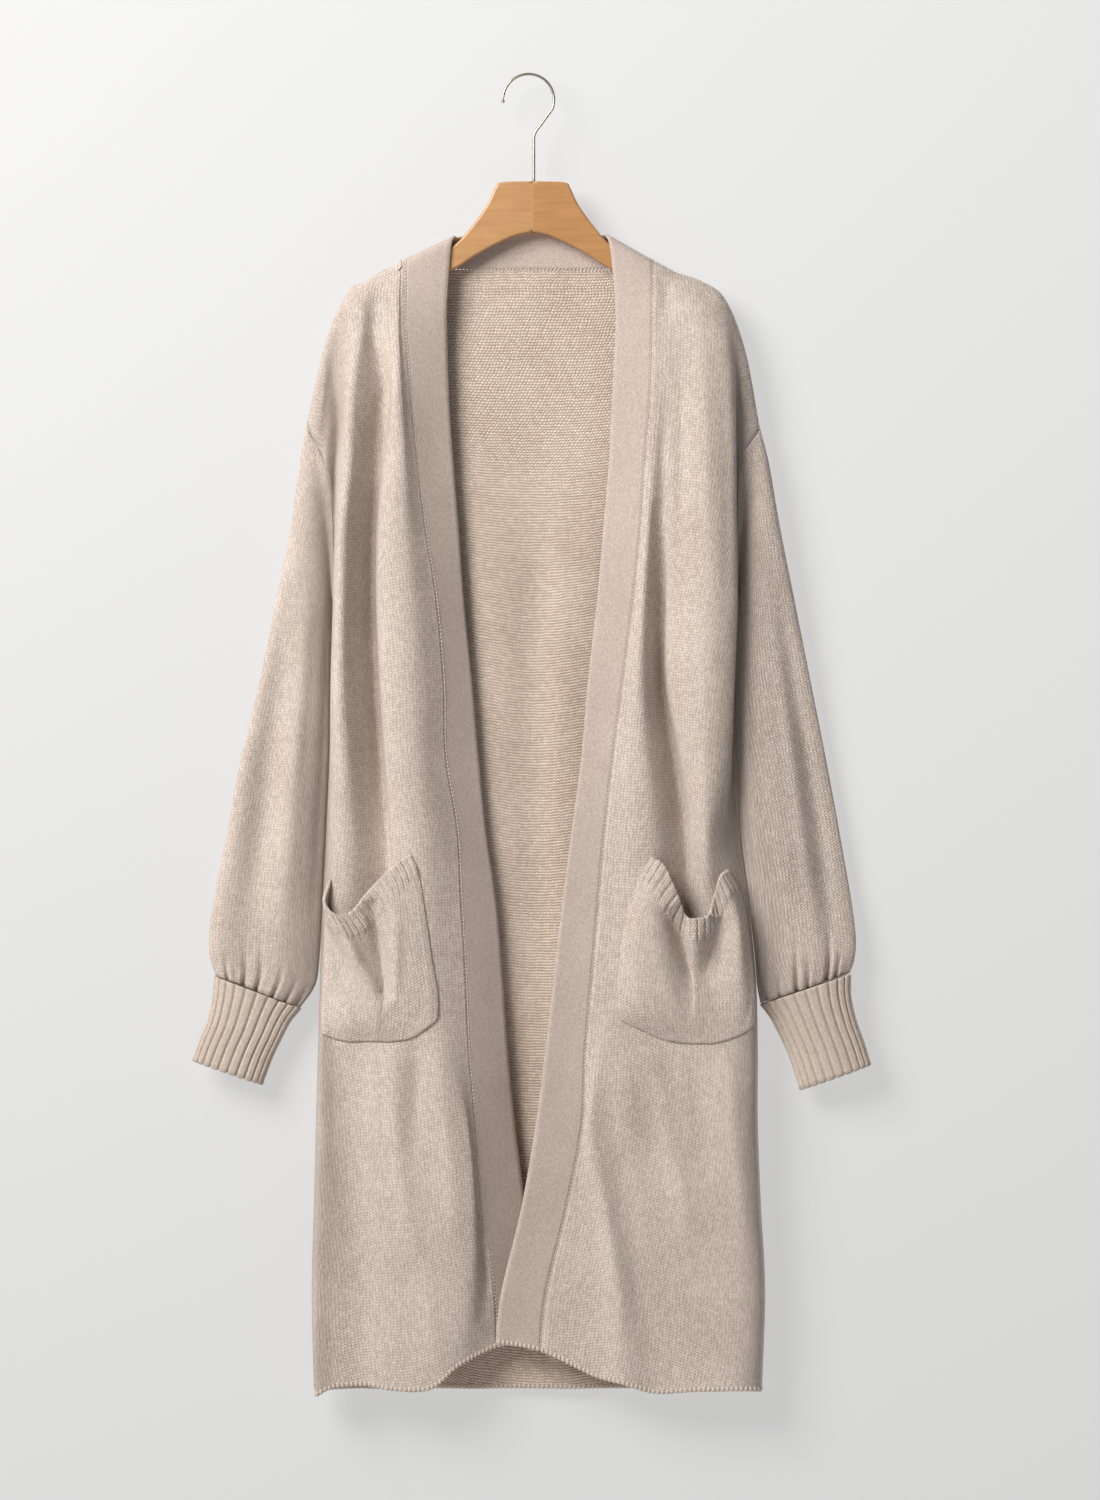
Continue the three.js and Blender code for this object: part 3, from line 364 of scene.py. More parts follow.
def normals_of(points, closed=False):
    if closed:
        along = np.roll(points, -1, axis=1) - np.roll(points, 1, axis=1)
    else:
        along = np.gradient(points, axis=1)
    return unit(np.cross(along, np.gradient(points, axis=0)))


def lengths(points, axis):
    """How far each point lies along its row or column."""
    d = norm(np.diff(points, axis=axis))
    zero = np.zeros_like(np.take(d, [0], axis=axis))
    return np.concatenate([zero, np.cumsum(d, axis=axis)], axis=axis)


def linked(name, data):
    o = bpy.data.objects.new(name, data)
    bpy.context.scene.collection.objects.link(o)
    return o


def new_object(name, vertices, faces, materials, node=None, uvs=None, indices=None):
    """A smooth mesh object that rides on the root and in place of a node of the frame.
    uvs holds one pair for each corner of each face, in metres, and indices each face's material."""
    mesh = bpy.data.meshes.new(name)
    mesh.from_pydata(vertices.tolist(), [], faces)
    for material in materials:
        mesh.materials.append(material)
    if uvs is not None:
        layer = mesh.uv_layers.new(name="UVMap")
        layer.data.foreach_set("uv", np.asarray(uvs, np.float32).ravel())
    if indices is not None:
        mesh.polygons.foreach_set("material_index", np.asarray(indices, np.int32))
    mesh.polygons.foreach_set("use_smooth", np.ones(len(faces), bool))
    mesh.update()
    o = linked(name, mesh)
    bm = bmesh.new()
    bm.from_mesh(mesh)
    bmesh.ops.recalc_face_normals(bm, faces=bm.faces)
    bm.to_mesh(mesh)
    bm.free()
    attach(o, "root")
    if node:
        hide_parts(node)
    return o


def cloth(name, node, grid, kind, facing=1, closed=False, relief=0, sewn="", crisp=""):
    """A wall of cloth whose outside is the grid, with rounded free edges.
      kind       its outside's material, its inside's and its thickness
      facing     1 where the grid's normals point out of the garment, or -1
      closed     whether the columns close into a ring
      relief     how far each outer point is raised
      sewn       which edges are flat, because they are sewn to another piece: t, b, l and r
      crisp      which of those are also shaded flat, so that the light runs on across the seam"""
    *materials, thickness = kind
    points = scene_points(grid)
    rows, columns = points.shape[:2]
    out = normals_of(points, closed) * facing
    raised = np.broadcast_to(relief, (rows, columns))
    layers = [points + out * (raised * MM)[..., None], points - out * thickness * MM]
    flat = np.stack([lengths(wrapped(points, closed), 1), wrapped(lengths(points, 0), closed)], -1)
    outside = wrapped(np.arange(rows * columns).reshape(rows, columns), closed)
    indexes = [outside, outside + rows * columns]
    vertices = [layer.reshape(-1, 3) for layer in layers]
    faces, uvs, sides, hard = [], [], [], []

    def add(corners, places_of, side):
        faces.extend(np.stack(corners, -1).reshape(-1, len(corners)).tolist())
        uvs.append(np.stack(places_of, -2).reshape(-1, 2))
        sides.extend([side] * (len(faces) - len(sides)))

    whole, ahead = slice(None, -1), slice(1, None)
    square = [(whole, whole), (whole, ahead), (ahead, ahead), (ahead, whole)]
    for side, turn in enumerate((square, square[::-1])):
        add([indexes[side][a] for a in turn], [flat[a] for a in turn], side)

    # Each edge gets a row of points half way through the wall, bulged outwards where it is free.
    every = slice(None)
    edges = {"t": ((0, every), (1, every)), "b": ((-1, every), (-2, every))}
    if not closed:
        edges |= {"l": ((every, 0), (every, 1)), "r": ((every, -1), (every, -2))}
    middle = (layers[0] + layers[1]) / 2
    count = 2 * rows * columns
    rims = {}
    for letter, (edge, inner) in edges.items():
        bulge = SEWN_BULGE if letter in sewn else FREE_BULGE
        vertices.append(middle[edge] + unit(middle[edge] - middle[inner]) * bulge * thickness * MM)
        rim = rims[letter] = np.arange(len(vertices[-1])) + count
        count += len(rim)
        if closed:
            rim = np.append(rim, rim[0])
        first = len(faces)
        near = [flat[edge][:-1], flat[edge][1:]]
        for index in indexes:
            add([index[edge][:-1], index[edge][1:], rim[1:], rim[:-1]], near + near[::-1], 0)
        if letter in crisp:
            hard += range(first, len(faces))
    if not closed:
        for row, column in ((0, 0), (0, -1), (-1, 0), (-1, -1)):
            for index in indexes:
                corner = (index[row, column], rims["tb"[row]][column], rims["lr"[column]][row])
                add([np.array([k]) for k in corner], [np.zeros((1, 2))] * 3, 0)
    o = new_object(name, np.concatenate(vertices), faces, materials, node,
                   np.concatenate(uvs), sides)
    for k in hard:
        o.data.polygons[k].use_smooth = False
    return o


# ---- Materials ----
WANDER, WANDER_SCALE = 0.9, 90.0  # how unevenly stitches lie, in stitches and in waves to a metre
PATCHES, PATCH_SCALE = 0.3, 14.0  # how much lighter and darker patches differ, and their waves
HAIR_SCALE = 900.0
PLAIN_SLANT, PURL_ARCH = 0.55, 0.34  # how far a stitch's legs run up or down, in stitches
GROOVE = 0.22  # the lower, the narrower the groove between two columns of plain stitches


class Shader:
    """A node material under construction."""

    def __init__(self, name):
        self.material = bpy.data.materials.new(name)
        self.material.use_nodes = True
        self.tree = self.material.node_tree
        self.tree.nodes.clear()
        self.output = self.tree.nodes.new("ShaderNodeOutputMaterial")

    def put(self, socket, value):
        if isinstance(value, bpy.types.NodeSocket):
            self.tree.links.new(value, socket)
        else:
            socket.default_value = value

    def node(self, kind, inputs=(), **settings):
        n = self.tree.nodes.new("ShaderNode" + kind)
        for key, value in settings.items():
            setattr(n, key, value)
        for key, value in dict(inputs).items():
            self.put(n.inputs[key], value)
        return n

    def math(self, operation, a, b=0.0, clamp=False):
        return self.node("Math", {0: a, 1: b}, operation=operation, use_clamp=clamp).outputs[0]

    def add(self, a, b, clamp=False):
        return self.math("ADD", a, b, clamp)

    def times(self, a, b):
        return self.math("MULTIPLY", a, b)

    def wave(self, value):
        """A triangle wave of period 1 between 0, at whole numbers, and 1."""
        return self.times(self.math("PINGPONG", value, 0.5), 2.0)

    def swing(self, value, size):
        """A value between 0 and 1 as one that swings by half of size about 0."""
        return self.times(self.math("SUBTRACT", value, 0.5), size)

    def lift(self, value, share):
        """A value between 0 and 1 as one between 1 - share and 1."""
        return self.add(self.times(value, share), 1 - share)

    def noise(self, vector, scale, detail=2.0, roughness=0.5):
        inputs = {"Vector": vector, "Scale": scale, "Detail": detail, "Roughness": roughness}
        return self.node("TexNoise", inputs).outputs["Fac"]

    def mix(self, share, *colours):
        """A blend of two colours given in sRGB, 0 to 255."""
        n = self.node("Mix", data_type="RGBA")
        self.put(n.inputs[0], share)
        for socket, colour in zip(n.inputs[6:8], colours):
            self.put(socket, (*[((c / 255 + 0.055) / 1.055) ** 2.4 for c in colour], 1.0))
        return n.outputs[2]

    def surface(self, **inputs):
        names = {key.replace("_", " "): value for key, value in inputs.items()}
        shader = self.node("BsdfPrincipled", names)
        self.tree.links.new(shader.outputs[0], self.output.inputs["Surface"])
        return self.material


def knit_material(name, stitch, light, dark, wale=WALE, course=COURSE, relief=1.1, slubs=0.18,
                  fuzz=0.25):
    """Knitted yarn: stitch is plain, purl or fine. Its pattern lies in the piece's own metres.
      wale and course  a stitch's width and height
      relief           how deep the stitches look
      slubs            how much one stitch differs from the next
      fuzz             how much hair lies over them"""
    # The colour follows the yarn's height: the dark in the grooves between stitches is painted
    # shade and the light on their tops is painted light. Slubs, patches and hairs add the yarn's
    # own uneven tone.
    s = Shader(name)
    uv = s.node("UVMap", uv_map="UVMap").outputs[0]
    axes = s.node("SeparateXYZ", {0: uv}).outputs
    place = s.node("TexCoord").outputs["Object"]
    wander = s.swing(s.noise(place, WANDER_SCALE), WANDER)
    x = s.add(s.math("DIVIDE", axes[0], wale * MM), wander)
    y = s.add(s.math("DIVIDE", axes[1], course * MM), wander)
    across = s.wave(x)
    if stitch == "purl":
        row = s.add(y, s.times(across, PURL_ARCH))
        loops = s.times(s.wave(row), s.lift(across, 0.2))
        column = s.math("FLOOR", x)
    else:
        row = s.add(y, s.times(across, PLAIN_SLANT))
        groove = s.math("POWER", s.math("SUBTRACT", 1.0, across), GROOVE)
        loops = s.times(s.lift(s.wave(row), 0.75), groove)
        column = s.math("FLOOR", s.times(x, 2.0))
    cell = s.node("CombineXYZ", {0: column, 1: s.math("FLOOR", row)}).outputs[0]
    slub = s.node("TexWhiteNoise", {"Vector": cell}, noise_dimensions="2D").outputs["Value"]
    hairs = s.noise(place, HAIR_SCALE, detail=3.0, roughness=0.7)
    yarn = s.add(s.times(loops, 1.0 - fuzz), s.times(hairs, fuzz))
    patches = s.swing(s.noise(place, PATCH_SCALE), PATCHES)
    shade = s.add(s.add(yarn, s.swing(slub, slubs)), patches, clamp=True)
    # Painted shade in the stitches' grooves, mixed with the yarn's own uneven tone.
    colour = s.mix(shade, dark, light)
    bump = s.node("Bump", {"Height": yarn, "Distance": relief * MM, "Strength": 1.0}).outputs[0]
    return s.surface(Base_Color=colour, Roughness=0.92, Normal=bump, Specular_IOR_Level=0.15,
                     Sheen_Weight=0.12, Sheen_Roughness=0.6)


# Each knit's dark colour is the painted shade in its stitches' grooves, and its light colour is
# their lit tops.
PLAIN = knit_material("plain_knit", "plain", (236, 223, 213), (146, 127, 113),
                      relief=0.9, slubs=0.28, fuzz=0.34)
# The purl side's colours are lighter: painted light that brightens the shaded inside of the
# garment.
PURL = knit_material("purl_knit", "purl", (252, 236, 220), (156, 129, 110))
BAND = knit_material("band_knit", "fine", (212, 197, 187), (166, 148, 137),
                     1.6, 1.4, relief=0.35, slubs=0.5, fuzz=0.5)
RIBBED = knit_material("rib_knit", "fine", (218, 205, 193), (162, 143, 129),
                       2.4, 2.2, relief=0.4, slubs=0.3, fuzz=0.4)
YARN = knit_material("stitch_yarn", "fine", (226, 213, 201), (180, 161, 147),
                     0.8, 0.9, relief=0.2, slubs=0.3, fuzz=0.5)
PLAIN_CLOTH = (PLAIN, PURL, KNIT)


def wood_material(name, light, dark, slant):
    """Varnished wood, its grain running along an arm that slopes down to one side."""
    s = Shader(name)
    place = s.node("TexCoord").outputs["Object"]

    def streaks(stretch, **look):
        turned = s.node("Mapping", {"Vector": place, "Rotation": (0, slant, 0), "Scale": stretch})
        return s.noise(turned.outputs[0], **look)

    grain = streaks((3, 14, 26), scale=9.0, detail=6.0, roughness=0.6)
    pores = streaks((10, 90, 160), scale=11.0, detail=3.0, roughness=0.7)
    share = s.add(s.times(grain, 0.8), s.times(pores, 0.3), clamp=True)
    bump = s.node("Bump", {"Height": pores, "Distance": 0.05 * MM, "Strength": 0.6}).outputs[0]
    return s.surface(Base_Color=s.mix(share, dark, light), Roughness=0.38, Normal=bump,
                     Coat_Weight=0.25, Coat_Roughness=0.3)


def steel_material():
    """Nickel plate with faint scuffs."""
    s = Shader("nickel")
    scuffs = s.noise(s.node("TexCoord").outputs["Object"], scale=420.0, detail=3.0)
    colour = s.mix(scuffs, (150, 137, 124), (196, 186, 174))
    return s.surface(Base_Color=colour, Metallic=1.0, Roughness=s.add(s.times(scuffs, 0.25), 0.2))


# ---- The fronts ----
# Each crease is a soft ridge, or where its depth is under 0 a trough: its depth, its width, how
# soon it fades out towards its two ends, and its path, as across and drop by turns.
LEFT_CREASES = [
    (2.6, 9, 0.5, [114,926, 123,959, 133,1007, 145,1060, 156,1122]),
    (-3.6, 11, 0.5, [74,931, 80,997, 89,1064, 101,1131, 108,1198]),
    (3.4, 8, 0.45, [51,926, 55,978, 63,1036, 72,1083, 83,1141, 89,1203]),
    (-3.2, 11, 0.7, [158,931, 164,988, 173,1055]),
    (3.0, 9, 0.6, [192,926, 195,988, 202,1055, 208,1122]),
    (-2.4, 7, 0.8, [145,262, 146,339, 145,424, 149,501]),
    (1.6, 8, 0.8, [164,243, 168,310, 169,386, 170,463]),
    (-1.6, 5, 0.8, [185,291, 187,367, 188,463, 185,539]),
    (-5, 5, 0.35, [123,405, 122,482, 122,539, 127,596, 136,654, 144,721]),
]
RIGHT_CREASES = [
    (3.2, 8, 0.5, [-127,921, -127,978, -123,1036, -115,1083, -107,1136]),
    (-3.6, 8, 0.7, [-107,916, -106,969, -108,1026]),
    (3.0, 10, 0.5, [-85,921, -81,978, -73,1045, -69,1112]),
    (-3.4, 13, 0.7, [-175,931, -177,988, -174,1055, -170,1131]),
    (6, 8, 0.6, [-190,243, -198,281, -201,319, -205,353]),
    (-4.5, 6, 0.7, [-191,257, -183,296, -181,329, -186,367, -190,405]),
    (-5.5, 5, 0.35, [-140,296, -148,358, -151,424, -152,501, -150,558, -145,625, -141,692]),
    (1.6, 10, 0.6, [-104,1131, -92,1179, -88,1227]),
    (-6, 7, 0.35, [-46,926, -42,978, -38,1036, -38,1093, -41,1141, -45,1193]),
    (1.6, 6, 0.8, [-175,463, -177,539, -179,615]),
]


def front(body, creases):
    rows, side = body["front"], body["side"]
    spaced = rows[SPACING_ROW, SEAM:].copy()
    spaced[-1, 2] += SHOULDER_END
    grid = sampled(rows, SEAM + places(spaced, FRONT_STEP), FRONT_ROWS)
    grid[:, 0, 0] += side * SEAM_GAP / 2
    grid = uneven(grid)
    grid = creased(grid, creases, freedom(grid))
    node = "front_" + body["name"]
    o = cloth(node + "_knit", node, grid, PLAIN_CLOTH, -side, sewn="lrt", crisp="t")
    return o, grid


# ---- The front band ----
def band():
    """The front band: up the left front, behind the neck and down the right front."""
    behind = np.array(NECK, float)
    behind = np.stack([behind[:, 0], (behind[:, 0] + behind[:, 1]) / 2, behind[:, 1]], 1)
    half = len(LEFT["front"])
    fronts = [through(row, [EDGE, (EDGE + SEAM) / 2, SEAM])
              for row in np.concatenate([LEFT["front"][::-1], RIGHT["front"]])]
    stations = np.concatenate([fronts[:half], behind, fronts[half:]])
    sewn = half - 1  # the last station on the left front
    on = len(stations) - half  # and the first on the right
    along = np.concatenate([sewn - FRONT_ROWS[::-1], np.linspace(sewn, on, NECK_PLACES)[1:-1],
                            on + FRONT_ROWS])
    grid = sampled(stations, np.linspace(0, 2, BAND_COLUMNS), along)
    grid[along <= sewn, -1, 0] -= SEAM_GAP / 2
    grid[along >= on, -1, 0] += SEAM_GAP / 2
    grid[(along > sewn) & (along < on), -1, 2] -= SEAM_GAP / 2
    grid = uneven(grid)
    kind = (BAND, BAND, BAND_KNIT)
    return cloth("front_band_knit", "band", grid, kind, sewn="r"), grid


# ---- The back ----
def back_half(body, i):
    """Row i of the back's net from one side seam in to the neck, behind the front's own lines."""
    made = []
    for line in BACK_LINES:
        x, proud, drop = body["front"][i, line]
        depth = BACK_DEPTH[i]
        if line == SIDE:
            depth = ARMHOLE_DEPTH[i] if i < len(ARMHOLE_DEPTH) else -proud
        elif (i, line) == (0, TUCK):
            depth = SHOULDER_END_DEPTH
        made.append([x, -depth - SEAM_GAP, drop + NECK_GAP * ((i, line) == (0, SEAM))])
    return made


def back_net():
    """The back's net, its lines counted from the right side seam to the left."""
    rows = []
    for i, depth in enumerate(BACK_DEPTH):
        neck = np.array([seam for _, seam in NECK[::-1]], float)
        if i == 0:
            neck[:, 2] = np.maximum(neck[:, 2], NECK_DROP) + NECK_GAP
        else:
            depth, drop = UNDER_NECK.get(i, (depth, LEFT["front"][i, SEAM, 2]))
            neck[:, 1:] = -depth, drop
        row = np.array([*back_half(RIGHT, i), *neck, *back_half(LEFT, i)[::-1]])
        last = len(row) - 1
        even = lerp(row[0], row[-1], (np.arange(last + 1) / last)[:, None])
        spread = min(1.0, max(0.0, (i - SPREAD_ROWS[0]) / (SPREAD_ROWS[1] - SPREAD_ROWS[0])))
        swell = [RIPPLE_DEPTH * math.cos(k * RIPPLE_PITCH + i * RIPPLE_SLANT)
                 + (BESIDE_SEAM if k in (1, last - 1) else 0) for k in range(1, last)]
        row[:, ::2] = lerp(row, even, spread)[:, ::2]
        row[1:-1, 1] += spread * np.array(swell)
        rows.append(row)
    return np.array(rows)


BACK_CREASES = [
    (-2.6, 13, 0.5, [-168,300, -160,480, -150,700, -154,900, -160,1100, -163,1400]),
    (4, 14, 0.5, [-132,380, -122,560, -116,760, -120,960, -128,1400]),
    (-2.2, 12, 0.6, [-92,500, -86,700, -84,900, -92,1400]),
    (1.4, 16, 0.8, [-40,620, -34,800, -36,1000, -44,1400]),
    (-2.6, 13, 0.5, [174,320, 166,500, 160,700, 167,900, 176,1400]),
    (4, 14, 0.5, [140,400, 131,600, 133,800, 141,1000, 150,1400]),
    (-2.2, 12, 0.6, [98,540, 92,740, 97,940, 108,1400]),
    (1.4, 16, 0.8, [48,640, 44,820, 50,1020, 60,1400]),
]


def joined(grid):
    """The back's grid with its shoulders' edges moved to the fronts' own, which fades out below."""
    edge = grid[0].copy()
    fade = np.clip(1 - norm(grid - edge) / SHOULDER_FADE, 0, 1)
    for body in (RIGHT, LEFT):
        side = body["side"]
        line = through(body["front"][0], np.linspace(SEAM, SIDE, EDGE_PLACES))
        far = side * edge[:, 0]
        sewn = (far >= side * line[0, 0]) & (far <= side * line[-1, 0])
        for axis, gap in ((1, SEAM_GAP), (2, 0)):
            meet = np.interp(far, side * line[:, 0], line[:, axis]) - gap
            grid[..., axis] += np.where(sewn, meet - edge[:, axis], 0) * fade
    return grid


def back():
    rows = back_net()
    grid = joined(sampled(rows, places(rows[SPACING_ROW], BACK_STEP), places(rows[:, 2])))
    grid = creased(uneven(grid), BACK_CREASES)
    return cloth("back_knit", "back", grid, PLAIN_CLOTH, sewn="tlr", crisp="t"), grid


# ---- Sleeves and cuffs ----
# Each gather is a furrow that runs up from the cuff: where it lies from the outer fold (0) to the
# inner one (1), its depth, its width as a share of the sleeve's, and how far up it runs.
LEFT_GATHERS = [
    (0.17, 6, 0.022, 30), (0.27, 9, 0.026, 56), (0.48, 6, 0.022, 32),
    (0.6, 9, 0.026, 60), (0.78, 5, 0.024, 30), (0.93, 5, 0.024, 28),
]
RIGHT_GATHERS = [
    (0.15, 6, 0.022, 30), (0.33, 8, 0.022, 42), (0.48, 9, 0.026, 60),
    (0.67, 8, 0.024, 38), (0.82, 6, 0.024, 28), (0.94, 5, 0.024, 24),
]
BACK_GATHERS = [
    (0.14, 4.5, 0.02, 26), (0.29, 4.5, 0.02, 40), (0.44, 4.5, 0.02, 30),
    (0.58, 4.5, 0.02, 46), (0.72, 4.5, 0.02, 28), (0.88, 4.5, 0.02, 30),
]
RIDGE = 0.45  # how high the cloth rises beside a gather, as a share of its depth
RIDGE_WIDTH = 3  # and how wide, in widths of the gather
GATHER_FADE = 1.3  # how soon a gather fades out as it runs up
# Each fold runs down a sleeve: some drops, its place from the outer fold (0) to the inner one (1)
# and its depth at each of them, and its width as a share of the sleeve's. A depth under 0 is a
# trough.
LEFT_DROPS = [480, 560, 640, 760, 840]
RIGHT_DROPS = [480, 560, 640, 740, 830]
BEHIND_DROPS = [480, 600, 700, 780, 840]
LEFT_SLEEVE_FOLDS = [
    ([420, 520, 640, 760, 840], [0.15] * 5, [0, -6, -13, -14, -4], 0.35),
    (LEFT_DROPS, [0.36, 0.36, 0.36, 0.38, 0.4], [0, 1.5, 3, 3, 1], 0.08),
    (LEFT_DROPS, [0.2, 0.2, 0.2, 0.22, 0.24], [0, -1.5, -3, -3, -1], 0.08),
    (LEFT_DROPS, [0.84] * 5, [0, 1, 3, 3, 1], 0.1),
]
RIGHT_SLEEVE_FOLDS = [
    (RIGHT_DROPS, [0.2, 0.24, 0.3, 0.35, 0.36], [0, -5, -10, -12, -5], 0.19),
    (RIGHT_DROPS, [0.56, 0.58, 0.62, 0.66, 0.66], [0, 1.5, 3, 3, 1], 0.11),
    (RIGHT_DROPS, [0.93, 0.93, 0.93, 0.93, 0.95], [0, -2, -4, -4, -1], 0.07),
]
TURN_DROPS = [420, 560, 640, 760, 850]
LEFT_TURN = [0, -5, -9, -9, -2]  # how far forward the sleeve's outer fold is turned at those drops
RIGHT_TURN = [0, 4, 7, 7, 2]
BEHIND_SLEEVE_FOLDS = [
    (BEHIND_DROPS, [0.4, 0.38, 0.36, 0.34, 0.34], [0, -2, -4, -4, -1], 0.14),
    (BEHIND_DROPS, [0.66, 0.65, 0.64, 0.64, 0.64], [0, 1.5, 3, 3, 1], 0.12),
]
FOLD_FADE = 0.3  # how soon folds fade out towards the sleeve's two edges
SLEEVE_COLUMNS = 144
LEAN = 5  # how far behind the outer fold of a sleeve its inner one hangs
RIB_COLUMNS = 8  # points across one rib
RIB_SHAPE = 6  # the higher, the narrower the furrow between two ribs
CUFF_RIB = RIB_HEIGHT + 0.1  # how far a cuff's rib stands out
CUFF_GROOVE = -1.1  # how far the furrow beside it stands out
MOUTH_GROOVE = -0.5  # and the furrow beside a rib of a pocket's mouth
SCALLOP = 0.6  # how far a rib hangs below the furrow beside it, as a share of its relief


def ring(row, count):
    x0, drop0, x1, drop1, thick, bend = row
    angle = np.arange(count) / count * 2 * math.pi
    t = (1 - np.cos(angle)) / 2
    proud = np.where(angle < math.pi, 1, -1) * thick * np.abs(np.sin(angle)) ** FULLNESS
    return np.column_stack([lerp(x0, x1, t), proud - LEAN * t * t, lerp(drop0, drop1, t ** bend)])


def armhole(body):
    """The edge that a sleeve is sewn to, down the front and up the back."""
    column = -1 if body["side"] > 0 else 0
    down = body["front"][1:UNDERARM + 1, SIDE]
    return np.concatenate([down, back_net()[:UNDERARM, column][::-1]])


def folded(grid, t, before, folds):
    """A sleeve's grid with folds laid down its front (before) or its back."""
    for drops, at, depth, width in folds:
        at, depth = (np.interp(grid[..., 2], drops, values) for values in (at, depth))
        shift = depth * hump(t, at, width) * np.sin(np.pi * t) ** FOLD_FADE
        grid[..., 1] += np.where(before, shift, 0)
    return grid


def sleeve(body, table, folds, turned, gathers):
    side = body["side"]
    loop = armhole(body)
    turn = np.arange(SLEEVE_COLUMNS) / SLEEVE_COLUMNS
    top = through(np.concatenate([loop, loop[:1]]), turn * len(loop))
    top += [side * ARMHOLE_SHIFT, 0, ARMHOLE_SHIFT]
    rows = np.stack([top, *[ring(row, SLEEVE_COLUMNS) for row in table]])
    grid = through(rows, places(rows[:, 0]))
    t = (1 - np.cos(turn * 2 * math.pi)) / 2
    before = turn < 0.5
    grid[..., 1] += np.interp(grid[..., 2], TURN_DROPS, turned) * (1 - t) ** 2
    grid = folded(grid, t, before, folds)
    grid[..., 1] *= -1
    grid = folded(grid, t, ~before, BEHIND_SLEEVE_FOLDS)
    grid[..., 1] *= -1
    up = norm(grid - grid[-1:])
    for table_of, where in ((gathers, before), (BACK_GATHERS, ~before)):
        for at, depth, width, reach in table_of:
            valley = hump(t, at, width) - RIDGE * hump(t, at, RIDGE_WIDTH * width)
            fade = np.clip(1 - up / reach, 0, 1) ** GATHER_FADE
            proud = np.where(where, depth * valley, 0) * fade
            grid[..., 1] -= np.where(before, proud, -proud)
    node = "sleeve_" + body["name"]
    return cloth(node + "_knit", node, uneven(grid), PLAIN_CLOTH, side, closed=True,
                 sewn="tb", crisp="b")


def rib_relief(place, height, groove):
    """How far ribs stand out, from groove in the furrow between two of them to height on top."""
    f = np.abs(2 * (place % 1) - 1)
    return height - (height - groove) * f ** RIB_SHAPE


def cuff(body, table):
    count = CUFF_RIBS * RIB_COLUMNS
    rows = np.stack([ring(row, count) for row in table])
    grid = through(rows, places(rows[:, 0], CUFF_STEP))
    ribs = rib_relief(np.arange(count) / RIB_COLUMNS, CUFF_RIB, CUFF_GROOVE)
    grid[-1, :, 2] += SCALLOP * ribs
    node = "cuff_" + body["name"]
    return cloth(node + "_rib", node, grid, (RIBBED, RIBBED, RIB_KNIT), body["side"],
                 closed=True, relief=ribs, sewn="t", crisp="t")


# ---- Pockets ----
FINE_ROWS, FINE_LINES = 1200, 161  # places tried down and across a front to find what is under it
STEEPEST = 2  # the front's slope there counts up to this
RIM = 0.12  # how much of the pocket's first stretch the foot of its ribs fades over
LIFT = 0.35  # how far in from its edges a pocket has come clear, in lines or rows of its net
# Columns of places down a pocket: from which of its net's rows to which, and how many.
POCKET_DOWN = [(0, 1, 12), (1, 3, 24), (3, 5, 22)]


def proud_on(body, grid, distance):
    """How proud a layer lies that is sewn on a front, that far out along the front's normal."""
    rows, side = body["front"], body["side"]
    fine = np.linspace(0, len(rows) - 1, FINE_ROWS)
    flat = grid.reshape(-1, 3)
    v = np.interp(flat[:, 2], through(rows[:, SEAM, 2], fine), fine)
    lines = through(np.swapaxes(through(rows, v), 0, 1), np.linspace(0, SIDE, FINE_LINES))
    reached = side * lines[:, :, 0] >= side * flat[None, :, 0]
    k = np.clip(np.argmax(reached, axis=0), 1, len(lines) - 2)
    n = np.arange(len(flat))
    a, b = lines[k - 1, n], lines[k, n]
    run = b[:, 0] - a[:, 0]
    run = np.where(np.abs(run) < 1e-6, 1e-6, run)
    share = np.clip((flat[:, 0] - a[:, 0]) / run, 0, 1)
    slope = np.clip((b[:, 1] - a[:, 1]) / run, -STEEPEST, STEEPEST)
    out = np.broadcast_to(distance, grid.shape[:2]).ravel()
    return (lerp(a[:, 1], b[:, 1], share) + out * np.hypot(1, slope)).reshape(grid.shape[:2])


LEFT_POCKET_CREASES = [
    (-5, 8, 0.5, [134,792, 141,816, 149,840, 158,864]),
    (1.6, 7, 0.7, [158,808, 159,826, 160,841]),
    (-8, 12, 0.6, [180,802, 176,826, 171,847, 164,870]),
    (1.8, 8, 0.7, [114,773, 119,816, 129,859, 145,894]),
    (2.0, 7, 0.7, [202,780, 204,826, 198,873]),
]
RIGHT_POCKET_CREASES = [
    (-9, 7, 0.45, [-150,785, -143,824, -137,854, -133,883]),
    (2.6, 6, 0.5, [-126,781, -125,826, -127,869, -131,894]),
    (4.2, 5.5, 0.5, [-190,799, -172,826, -155,852, -141,873]),
    (-1.6, 10, 0.8, [-182,847, -170,875, -151,896]),
]


def pocket(body, table, creases):
    rows = net(table)
    under = proud_on(body, rows, POCKET_EDGE)
    rows[..., 1] = np.where(rows[..., 1] > 0, rows[..., 1], under)
    columns = np.linspace(0, rows.shape[1] - 1, MOUTH_RIBS * RIB_COLUMNS + 1)
    down = np.unique(np.concatenate([np.linspace(*stretch) for stretch in POCKET_DOWN]))
    grid = creased(sampled(rows, columns, down), creases)
    inward = np.minimum(np.minimum(columns, columns[-1] - columns), (down[-1] - down)[:, None])
    clear = lerp(POCKET_EDGE, KNIT + POCKET_GAP, np.clip(inward / LIFT, 0, 1))
    grid[..., 1] = np.maximum(grid[..., 1], proud_on(body, grid, clear))
    rim = np.clip((1.0 - down) / RIM, 0, 1)[:, None]
    ribs = rib_relief(columns / columns[-1] * MOUTH_RIBS, RIB_HEIGHT, MOUTH_GROOVE)
    node = "pocket_" + body["name"]
    return cloth(node + "_knit", node, grid, PLAIN_CLOTH, -body["side"],
                 relief=rim * ribs, sewn="lrb")


